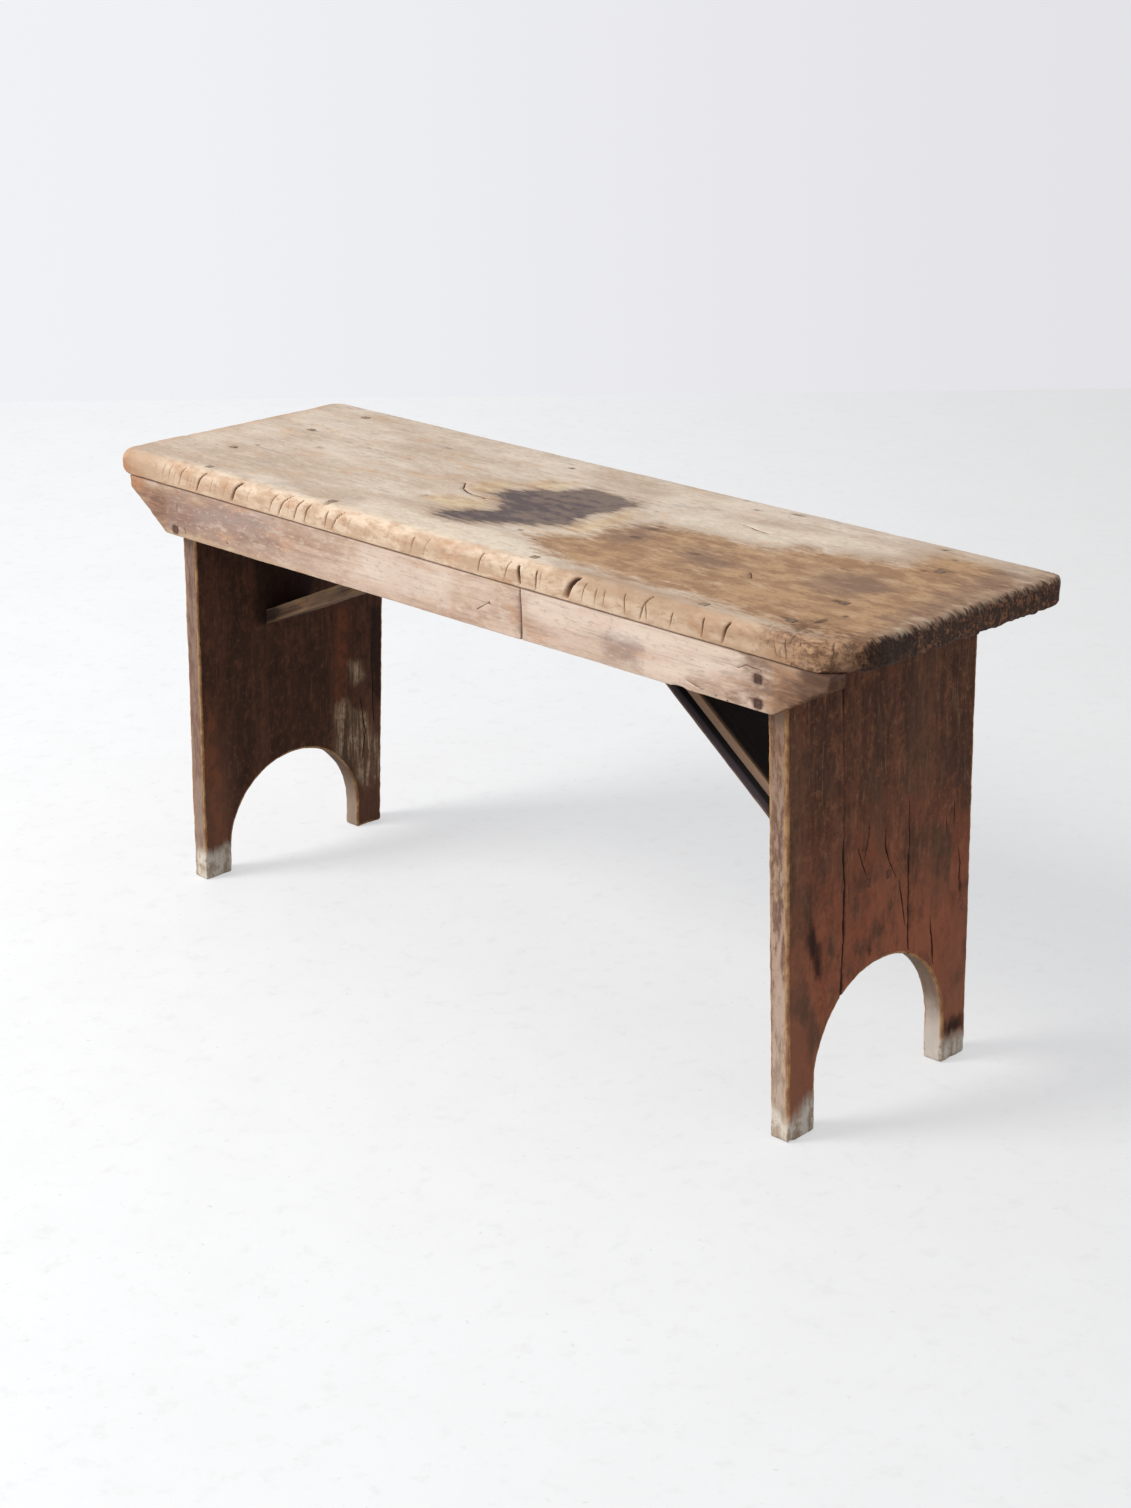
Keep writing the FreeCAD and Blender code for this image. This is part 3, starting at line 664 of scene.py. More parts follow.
def seatPlan():
    rear = seatHalfLength - seat["endTaper"]
    points = [
        (-seatHalfLength, -seatHalfDepth),
        (seatHalfLength, -seatHalfDepth),
        (rear, seatHalfDepth),
        (-rear, seatHalfDepth),
    ]
    cuts = [
        place + seatHalfLength
        for foot, head, *rest in seat["chops"]
        for place in ((foot + head) / 2, foot, head)
    ]
    return outline(points, seat["cornerRadii"], seat["margin"], seat["edgeStep"], {0: cuts})


def seatShift(plan):
    probe = np.column_stack([plan, np.zeros(len(plan))])
    ragged = smoothStep(plan[:, 0], 425, 450)
    leftEnd = smoothStep(-plan[:, 0], 440, 458)
    slow = 0.5 - 0.5 * softNoise(probe, (70, 50, 50), 21)
    quick = 0.5 - 0.5 * softNoise(probe, (9, 9, 9), 22)
    teeth = 0.5 - 0.5 * softNoise(probe, (3.2, 3.2, 3.2), 23)
    inset = 0.5 * slow + 0.2 * quick + ragged * (1.4 * slow + 1.1 * quick + 1.0 * teeth)
    inset += leftEnd * (0.8 * slow + 0.4 * quick)
    direction = -plan
    direction[:, 0] = np.where(np.abs(plan[:, 0]) > 440, np.sign(direction[:, 0]), 0)
    direction[:, 1] = np.where(np.abs(plan[:, 1]) > 120, np.sign(direction[:, 1]), 0)
    return direction * inset[:, None]


def seatTopRound(plan):
    probe = np.column_stack([plan, np.zeros(len(plan))])
    front = smoothStep(-plan[:, 1], 90, 138)
    back = smoothStep(plan[:, 1], 90, 138)
    size = seat["endRound"] * (1 - front) * (1 - back) + seat["frontRound"] * front + seat["backRound"] * back
    return size * (1 + 0.14 * softNoise(probe, (55, 40, 40), 31))


def seatUnderRound(plan):
    # the lower arris is worn at both ends, most under the front right corner
    right = smoothStep(plan[:, 0], 425, 455)
    left = smoothStep(-plan[:, 0], 444, 460)
    worn = seat["wornCorner"]
    corner = hill(plan, worn["centre"], worn["reach"])
    return seat["underRound"] + 4.0 * right + 6.0 * left + worn["depth"] * corner


def carveSeat(board, places, hurt, edge):
    top = smoothStep(board[:, 2], seatThick * 0.55, seatThick)
    hollow = seat["hollow"]["depth"] * hill(board, seat["hollow"]["centre"], seat["hollow"]["reach"])
    slow = evenNoise(board, (120, 42, 60), 41)
    quick = evenNoise(board, (26, 7, 30), 42)
    places[:, 2] -= top * (hollow + 0.6 * slow + 0.18 * quick)
    frontness = smoothStep(-board[:, 1], 116, 134)
    height = board[:, 2] + np.maximum(board[:, 1] + seatHalfDepth, 0)
    for foot, head, width, depth, reach, darkness in seat["chops"]:
        middle = foot + (head - foot) * np.clip(height / reach, 0, 1.2) ** 1.3
        across = board[:, 0] - middle
        wide = np.where(across < 0, width * 0.7, width * 0.45)
        share = np.clip(1 - np.abs(across) / wide, 0, 1) ** 0.7
        share *= smoothStep(height, 1, 5) * (1 - smoothStep(height, reach - 4, reach)) * frontness
        share *= 0.55 + 0.45 * smoothStep(height, 4, reach * 0.7)
        places[:, 1] += share * depth * 0.85
        places[:, 2] -= share * depth * 0.5 * smoothStep(board[:, 2], 10, seatThick)
        hurt = np.maximum(hurt, share * darkness)
    places, hurt = takeBites(places, hurt, seat["bites"], seat["biteStrength"])
    arris = np.exp(-edge / 8)
    chewed = smoothStep(board[:, 0], 400, 440) * smoothStep(-board[:, 1], 80, 125)
    ragged = smoothStep(board[:, 0], 436, 452)
    size = arris * (0.16 + 1.3 * chewed + 0.6 * ragged)
    places = roughen(places, board, (7, 7, 7), size, 43)
    places = roughen(places, board, (2.6, 2.6, 2.6), arris * (0.06 + 0.8 * chewed + 0.55 * ragged), 46)
    places = np.clip(places, (seatLow[0], -seatHalfDepth, 0), (seatHigh[0], seatHalfDepth, seatThick))
    return places, hurt


def seatPlace(places):
    return places + np.array([0, 0, seatLow[2]])


def seatWood():
    shade = Shade("wornSeatPlank")
    board = shade.place()
    along, across, up = shade.axes(board)
    grain = shade.grain(board, seat["grain"])
    clouds, mottle, streaks, fibres, blush, grit, split, lumps, teeth, fuzz, *rest = grain.values()
    feather = (streaks - 0.5) * 34 + (mottle - 0.5) * 30 + (clouds - 0.5) * 22 + (grit - 0.5) * 16

    colour = shade.mix(shade.smooth(clouds, 0.34, 0.66), *seat["ground"])
    colour = shade.glaze(colour, grain, seat["glazes"])

    # the patches on the top
    cream = shade.smooth(shade.layer("cream") + feather * 0.7, -8, 12)
    creamTone = shade.mix(shade.smooth(grit, 0.42, 0.58), tint(242, 228, 208), tint(228, 209, 186))
    colour = shade.mix(cream * 0.55, colour, creamTone)
    gold = shade.smooth(shade.layer("gold") + feather * 0.6, -10, 12)
    goldTone = shade.mix(shade.smooth(mottle, 0.42, 0.6), tint(222, 194, 150), tint(192, 156, 116))
    colour = shade.mix(gold * 0.6, colour, goldTone)
    tan = shade.smooth(along + (clouds - 0.5) * 0.2 + (mottle - 0.5) * 0.1, 0.27, 0.36)
    colour = shade.mix(tan * 0.34, colour, tint(174, 142, 112))
    patchy = shade.smooth(mottle + (blush - 0.5) * 0.9 + (streaks - 0.5) * 0.25, 0.36, 0.64)
    brownTone = shade.mix(patchy, tint(188, 149, 110), tint(159, 121, 89))
    brownTone = shade.mix(shade.smooth(grit, 0.55, 0.68) * 0.4, brownTone, tint(116, 86, 64))
    brownTone = shade.mix(shade.smooth(grit, 0.44, 0.34) * 0.25, brownTone, tint(204, 172, 138))
    brown = shade.smooth(shade.layer("brown") + feather, -13, 15)
    colour = shade.mix(brown * (0.94 - shade.smooth(mottle, 0.44, 0.3) * 0.3), colour, brownTone)
    greyed = shade.smooth(shade.layer("grey") + feather * 1.1, -13, 15)
    colour = shade.mix(greyed * 0.44, colour, tint(112, 90, 84))
    stainEdge = shade.layer("stain") + feather * 0.62 + (streaks - 0.5) * 16
    fringe = shade.smooth(stainEdge, -17, -3)
    colour = shade.mix(fringe * 0.4, colour, tint(156, 124, 98))
    stainPatches = shade.smooth(mottle + (clouds - 0.5) * 0.7, 0.42, 0.6)
    stainTone = shade.mix(stainPatches, tint(84, 73, 76), tint(122, 105, 96))
    stainTone = shade.mix(shade.smooth(stainEdge, 12, -2) * 0.5, stainTone, tint(112, 90, 76))
    stainTone = shade.mix(shade.smooth(grit, 0.56, 0.68) * 0.5, stainTone, tint(64, 53, 54))
    colour = shade.mix(shade.smooth(stainEdge, -5, 6) * 0.93, colour, stainTone)
    marks = shade.smooth(shade.layer("mark") + (fibres - 0.5) * 0.3 + (mottle - 0.5) * 0.7, 0.2, 0.8)
    colour = shade.mix(marks * 0.8, colour, tint(84, 64, 53))

    # the front edge, with a painted highlight on its upper arris, and the chewed corner at its right
    frontness = shade.smooth(across, -0.1285, -0.1405)
    facePatches = shade.smooth(mottle + (clouds - 0.5) * 0.6, 0.38, 0.62)
    face = shade.mix(facePatches, tint(230, 202, 174), tint(200, 165, 134))
    face = shade.mix(shade.smooth(blush, 0.55, 0.64) * 0.6, face, tint(194, 142, 108))
    face = shade.mix(shade.smooth(grit, 0.55, 0.67) * 0.5, face, tint(168, 128, 98))
    leftward = shade.smooth(along, -0.16, -0.4)
    face = shade.mix(leftward * 0.4, face, tint(196, 158, 128))
    farLeft = shade.smooth(along + (mottle - 0.5) * 0.08, -0.365, -0.42)
    face = shade.mix(farLeft * 0.5, face, tint(176, 142, 115))
    rightward = shade.smooth(along, 0.12, 0.36)
    face = shade.mix(rightward * 0.4, face, tint(174, 135, 102))
    colour = shade.mix(frontness * 0.85, colour, face)
    highFront = shade.smooth(across, -0.120, -0.132) * shade.smooth(up, 0.012, 0.019)
    # painted highlight: a pale band along the upper front arris, from near the left end to just right of the
    # middle
    lip = highFront * shade.smooth(along, 0.16, 0.08) * shade.smooth(along, -0.42, -0.37)
    colour = shade.mix(lip * shade.smooth(mottle, 0.62, 0.4) * 0.32, colour, tint(242, 225, 202))
    dulled = highFront * shade.smooth(along + (mottle - 0.5) * 0.06, 0.13, 0.19)
    dulled = dulled * shade.smooth(along, 0.35, 0.27)
    colour = shade.mix(dulled * 0.6, colour, tint(168, 136, 108))
    corner = shade.smooth(along + (mottle - 0.5) * 0.11, 0.35, 0.425) * shade.smooth(across, -0.088, -0.12)
    cornerPatches = shade.smooth(blush + (grit - 0.5) * 0.9, 0.38, 0.58)
    cornerTone = shade.mix(cornerPatches, tint(166, 124, 90), tint(100, 64, 43))
    cornerTone = shade.mix(shade.smooth(grit, 0.44, 0.36) * 0.36, cornerTone, tint(206, 170, 130))
    colour = shade.mix(corner * 0.8, colour, cornerTone)
    colour = shade.mix(corner * shade.smooth(split, 0.56, 0.66) * 0.7, colour, tint(66, 42, 30))

    # the two ends, painted shade on the underside, and the cuts
    endDepth = along + (lumps - 0.5) * 0.016 + (teeth - 0.5) * 0.03 + shade.smooth(up, 0.024, 0.012) * 0.012
    nearEnd = shade.smooth(endDepth + (mottle - 0.5) * 0.03, 0.432, 0.458)
    colour = shade.mix(nearEnd * 0.52, colour, tint(128, 93, 67))
    rightEnd = shade.smooth(endDepth - shade.smooth(across, -0.112, -0.13) * 0.012, 0.4525, 0.4605)
    endPatches = shade.smooth(fuzz + (lumps - 0.5) * 0.9, 0.46, 0.7)
    endTone = shade.mix(endPatches, tint(52, 33, 26), tint(146, 100, 72))
    # the right end is darkest towards its front
    darkestFront = shade.smooth(across + (lumps - 0.5) * 0.06, -0.045, -0.075)
    darkestFront = darkestFront * shade.smooth(across, -0.128, -0.108)
    endTone = shade.mix(darkestFront * 0.75, endTone, tint(30, 19, 16))
    colour = shade.mix(rightEnd * 0.94, colour, endTone)
    leftEnd = shade.smooth(along + (mottle - 0.5) * 0.05 + (up - 0.015) * 1.4, -0.418, -0.452)
    leftTone = shade.mix(shade.smooth(mottle, 0.42, 0.58), tint(206, 162, 126), tint(176, 128, 94))
    colour = shade.mix(leftEnd * 0.62, colour, leftTone)
    lowLeft = shade.smooth(along + (mottle - 0.5) * 0.04, -0.436, -0.456) * shade.smooth(up, 0.017, 0.005)
    colour = shade.mix(lowLeft * 0.7, colour, tint(186, 122, 84))
    # painted shade: the underside and the lower arris are darkened
    under = shade.smooth(up, 0.0015, 0.0004)
    colour = shade.mix(under * 0.7, colour, tint(112, 84, 66))
    hurt = shade.layer("hurt")
    cutTone = shade.mix(shade.smooth(hurt, 0.3, 0.7), tint(150, 104, 72), tint(50, 32, 24))
    colour = shade.mix(shade.smooth(hurt, 0.08, 0.45) * 0.95, colour, cutTone)

    roughness = 0.82 - streaks * 0.16
    height = streaks * 0.25 + mottle * 0.3 + fibres * 0.2 + grit * 0.25 + fuzz * rightEnd * 0.9
    return shade.finish(colour, roughness, height, 0.0009, 0.2)


print("making the seat")
seatLook = {
    **seat,
    "topRound": seatTopRound,
    "bottomRound": seatUnderRound,
    "shift": seatShift,
    "carve": carveSeat,
}
seatPiece = makeBoard("wornSeatBoard", *seatPlan(), seatThick, seatLook, seatPlace)
dress(seatPiece, seatWood(), ["seat_board"])


# Apron

apron = {
    "tip": 12.0,
    "clip": 56.0,
    "leftDrop": 49.0,
    "rightDrop": 44.0,
    "frontRound": 0.8,
    "backRound": 0.8,
    "tipRound": 2.0,
    "cornerRadii": [9.0, 6.0, 4.0, 1.0, 1.0, 4.0],  # anticlockwise from the left heel
    "kerf": 108.0,  # where the saw cut is, and the gash and the nick in the lower edge
    "gash": -356.0,
    "nick": 314.0,
    "edgeStep": 1.6,
    "margin": 5.0,
    "roundSteps": 5,
    "faceStep": 5.0,
    "wearReach": 4.0,
    "biteStrength": 0.7,
    "bites": [
        ((-300, -1, 19), (6, 2.4, 5), (0, 1, -0.4)),
        ((290, 4.5, 20), (9, 2.0, 4), (0, 1, -0.4)),
    ],
    # places run along the board, and up from its lower edge
    "cracks": [
        {"path": [(-356, 0, 3.0), (-357, 7, 2.0), (-358, 11, 0.8)], "depth": 2.4, "wander": 0.3},
        {"path": [(56, 19, 1.4), (62, 23, 0.9), (69, 27, 0.6)], "depth": 0.2, "wander": 0.4},
        {"path": [(314, 0, 1.6), (314, 6, 1.0)], "depth": 1.2, "wander": 0.3},
        {"path": [(300, 12, 0.8), (330, 7, 1.4), (352, 4, 0.8)], "depth": 0.5, "wander": 0.5},
        {"path": [(352, 36, 0.8), (360, 40, 1.3), (374, 39, 0.7)], "depth": 0.4, "wander": 0.5},
        {"path": [(-290, 8, 0.7), (-284, 3, 1.0)], "depth": 0.4, "wander": 0.3},
    ],
    "zones": {
        "bluish": [("top", [(-342, 20), (-262, 25), (-214, 33), (-222, 44), (-300, 42), (-345, 32)]),
                   ("top", [(398, 30), (430, 38), (428, 47), (396, 46)]),
                   ("top", [(212, 28), (248, 31), (246, 36), (212, 34)])],
        "dusky": [("top", [(-430, 34), (-404, 12), (-386, 4), (-345, 10), (-330, 26), (-372, 40),
                           (-420, 44)]),
                  ("top", [(205, 8), (246, 10), (246, 28), (205, 26)]),
                  ("top", [(-275, 14), (-210, 16), (-212, 30), (-272, 28)])],
        "cream": [("top", [(114, 26), (150, 22), (240, 26), (300, 22), (336, 24), (372, 34), (360, 47),
                           (114, 48)]),
                  ("top", [(150, 12), (290, 8), (290, 20), (160, 22)]),
                  ("top", [(-112, 12), (-60, 8), (20, 14), (20, 44), (-96, 46)])],
        "tawny": [("top", [(300, 2), (344, 2), (336, 20), (300, 18)]),
                  ("top", [(-206, 30), (-126, 26), (-118, 46), (-206, 47)]),
                  ("top", [(-440, 47), (-440, 38), (-420, 36), (-412, 47)])],
    },
    "grain": {
        "clouds": ((8, 30, 30), 4.0, 0.55, 1.3),
        "mottle": ((34, 95, 95), 5.0, 0.62, 4.4),
        "streaks": ((9, 190, 110), 5.0, 0.6, 6.1),
        "fibres": ((60, 900, 420), 3.0, 0.6, 9.2),
        "blush": ((18, 60, 50), 4.0, 0.6, 12.3),
        "grit": ((140, 360, 330), 4.0, 0.62, 17.1),
        "lines": ((16, 420, 200), 3.0, 0.55, 21.7),
    },
    "ground": [tint(197, 166, 145), tint(224, 198, 178)],
    "glazes": [
        ("mottle", 0.52, 0.68, 0.45, tint(178, 140, 116)),
        ("streaks", 0.53, 0.67, 0.4, tint(162, 128, 110)),
        ("blush", 0.55, 0.66, 0.45, tint(206, 156, 122)),
        ("blush", 0.45, 0.34, 0.4, tint(216, 186, 150)),
        ("mottle", 0.46, 0.33, 0.4, tint(236, 216, 198)),
    ],
    # patches of the zones above: zone, where it starts and is full in mm inside it, strength, tone
    "stains": [
        ("cream", -9, 10, 0.56, tint(241, 222, 206)),
        ("dusky", -8, 10, 0.58, tint(138, 106, 94)),
        ("bluish", -6, 8, 0.5, tint(162, 146, 143)),
        ("tawny", -8, 9, 0.5, tint(158, 120, 94)),
    ],
    "flecks": [
        ("grit", 0.54, 0.7, 0.34, tint(156, 122, 100)),
        ("grit", 0.45, 0.33, 0.3, tint(242, 222, 200)),
        ("lines", 0.56, 0.68, 0.28, tint(148, 116, 98)),
    ],
}
apronLow, apronHigh = nodeBox("front_apron")
apronThick = apronHigh[1] - apronLow[1]
apronDeep = apronHigh[2] - apronLow[2]
apronReach = (apronHigh[0] - apronLow[0]) / 2
apron["cracks"].append({
    "path": [(apron["kerf"], apronDeep, 1.8), (apron["kerf"] + 1.2, 25, 1.8), (apron["kerf"] + 1.6, 0, 3.2)],
    "depth": 5.0, "wander": 0.25, "ragged": 0.2,
})
kerfPatch = [(apron["kerf"] + x, y) for x, y in ((-5, 52), (5, 52), (8, -2), (-4, -2))]
apron["zones"]["kerf"] = [("top", kerfPatch), ("top", [(-366, -2), (-366, 14), (-350, 14), (-350, -2)])]
# a bruise round each nail, faint at the upper left, where the paint hides it
apron["scars"] = [
    (x, z - apronLow[2], 8.0, 7.0, 0.6, 0.3 if x < 0 and z - apronLow[2] > apronDeep / 2 else 0.9)
    for node in ("left_apron_nails", "right_apron_nails")
    for x, y, z in nailPlaces(node, 2)
]


def apronPlan():
    heel = apronReach - apron["clip"]
    points = [
        (-heel, apronDeep - apron["leftDrop"]),
        (heel, apronDeep - apron["rightDrop"]),
        (apronReach, apronDeep - apron["tip"]),
        (apronReach, apronDeep),
        (-apronReach, apronDeep),
        (-apronReach, apronDeep - apron["tip"]),
    ]
    below = [apron["kerf"] + heel + 1.5, apron["gash"] + heel, apron["nick"] + heel]
    fine = {0: below, 3: [apronReach - apron["kerf"]]}
    return outline(points, apron["cornerRadii"], apron["margin"], apron["edgeStep"], fine)


def apronShift(plan):
    heel = apronReach - apron["clip"]
    probe = np.column_stack([plan, np.zeros(len(plan))])
    lower = smoothStep(apronDeep - plan[:, 1], 6, 20)
    slow = evenNoise(probe, (60, 60, 60), 51)
    quick = evenNoise(probe, (8, 8, 8), 52)
    clipped = smoothStep(np.abs(plan[:, 0]), heel, heel + 10)
    shift = np.zeros((len(plan), 2))
    shift[:, 1] = lower * (0.5 * slow + 0.2 * quick)
    shift[:, 0] = -np.sign(plan[:, 0]) * clipped * (0.6 * slow + 0.7 * quick)
    return shift


def apronRound(plan):
    tips = smoothStep(np.abs(plan[:, 0]), apronReach - 50, apronReach - 12)
    upper = smoothStep(plan[:, 1], apronDeep - 3, apronDeep - 1)
    return apron["frontRound"] + apron["tipRound"] * tips * (1 - upper)


def carveApron(board, places, hurt, edge):
    face = smoothStep(board[:, 2], apronThick * 0.6, apronThick)
    slow = evenNoise(board, (110, 22, 60), 61)
    quick = evenNoise(board, (22, 4, 30), 62)
    places[:, 2] -= face * (0.3 * slow + 0.12 * quick)
    places, hurt = takeBites(places, hurt, apron["bites"], apron["biteStrength"])
    endness = smoothStep(np.abs(board[:, 0]), apronReach - 52, apronReach - 30)
    amount = np.exp(-edge / 4) * (0.08 + 0.32 * endness + 0.4 * endness * (board[:, 0] > 0))
    amount *= 1 - smoothStep(board[:, 1], apronDeep - 5, apronDeep)
    places = roughen(places, board, (4, 4, 4), amount, 63)
    places = np.clip(places, (-apronReach, 0, 0), (apronReach, apronDeep, apronThick))
    return places, hurt


def apronPlace(places):
    x, up, out = places.T
    return np.column_stack([x, apronHigh[1] - out, apronLow[2] + up])


def apronWood():
    shade = Shade("bareApronBoard")
    board = shade.place()
    along, upward, out = shade.axes(board)
    grain = shade.grain(board, apron["grain"])
    clouds, mottle, streaks, fibres, blush, grit, *rest = grain.values()
    feather = (streaks - 0.5) * 18 + (mottle - 0.5) * 14 + (clouds - 0.5) * 8 + (grit - 0.5) * 8

    colour = shade.mix(shade.smooth(clouds, 0.36, 0.64), *apron["ground"])
    colour = shade.mix(shade.smooth(along, -0.06, -0.36) * 0.8, colour, tint(164, 134, 119))
    colour = shade.glaze(colour, grain, apron["glazes"])
    stained = {zone: shade.layer(zone) + feather for zone, *rest in apron["stains"]}
    colour = shade.glaze(colour, stained, apron["stains"])
    colour = shade.glaze(colour, grain, apron["flecks"])

    # the lower edge, the right heel, the clipped ends and the two tips
    lowEdge = shade.smooth(upward + (mottle - 0.5) * 0.008, 0.009, 0.001) * shade.smooth(along, -0.12, -0.2)
    colour = shade.mix(lowEdge * 0.5, colour, tint(208, 178, 142))
    heel = shade.smooth(along + (mottle - 0.5) * 0.16 + (upward - 0.025) * 0.6, 0.335, 0.39)
    heelPatches = shade.smooth(blush + (mottle - 0.5) * 0.5, 0.4, 0.6)
    heelTone = shade.mix(heelPatches, tint(168, 130, 100), tint(112, 80, 60))
    colour = shade.mix(heel * 0.76, colour, heelTone)
    ends = shade.smooth(shade.maths("ABSOLUTE", along) + (grit - 0.5) * 0.01, 0.383, 0.392)
    ends = ends * shade.smooth(out, 0.0196, 0.0184) * shade.smooth(upward, 0.047, 0.044)
    endPatches = shade.smooth(fibres + (mottle - 0.5), 0.4, 0.62)
    endTone = shade.mix(endPatches, tint(170, 124, 88), tint(108, 73, 50))
    colour = shade.mix(ends * 0.85, colour, endTone)
    leftTip = shade.smooth(along, -0.412, -0.43) * shade.smooth(upward + (mottle - 0.5) * 0.02, 0.03, 0.042)
    colour = shade.mix(leftTip * 0.6, colour, tint(190, 132, 92))
    rightTip = shade.smooth(along + (mottle - 0.5) * 0.02, 0.402, 0.424)
    colour = shade.mix(rightTip * 0.66, colour, tint(74, 48, 36))

    # painted shade along the top edge where it meets the seat, then the nail stains and the cuts
    # painted shade: a dark line at the joint under the seat
    topEdge = shade.smooth(upward, 0.0480, 0.0488)
    colour = shade.mix(topEdge * 0.7, colour, tint(96, 68, 54))
    marks = shade.smooth(shade.layer("mark") + (fibres - 0.5) * 0.3 + (mottle - 0.5) * 0.5, 0.22, 0.75)
    colour = shade.mix(marks * 0.8, colour, tint(88, 60, 54))
    inKerf = shade.smooth(shade.layer("kerf"), -1, 1)
    gashTone = shade.mix(inKerf, tint(122, 92, 74), tint(42, 28, 22))
    colour = shade.mix(shade.smooth(shade.layer("hurt"), 0.08, 0.5) * 0.92, colour, gashTone)
    roughness = 0.8 - streaks * 0.14
    height = streaks * 0.3 + mottle * 0.3 + fibres * 0.25 + grit * 0.25
    return shade.finish(colour, roughness, height, 0.0007, 0.2)


print("making the apron")
apronLook = {
    **apron,
    "topRound": apronRound,
    "bottomRound": lambda plan: apron["backRound"],
    "shift": apronShift,
    "carve": carveApron,
}
apronPiece = makeBoard("clippedApron", *apronPlan(), apronThick, apronLook, apronPlace)
dress(apronPiece, apronWood(), ["front_apron"])
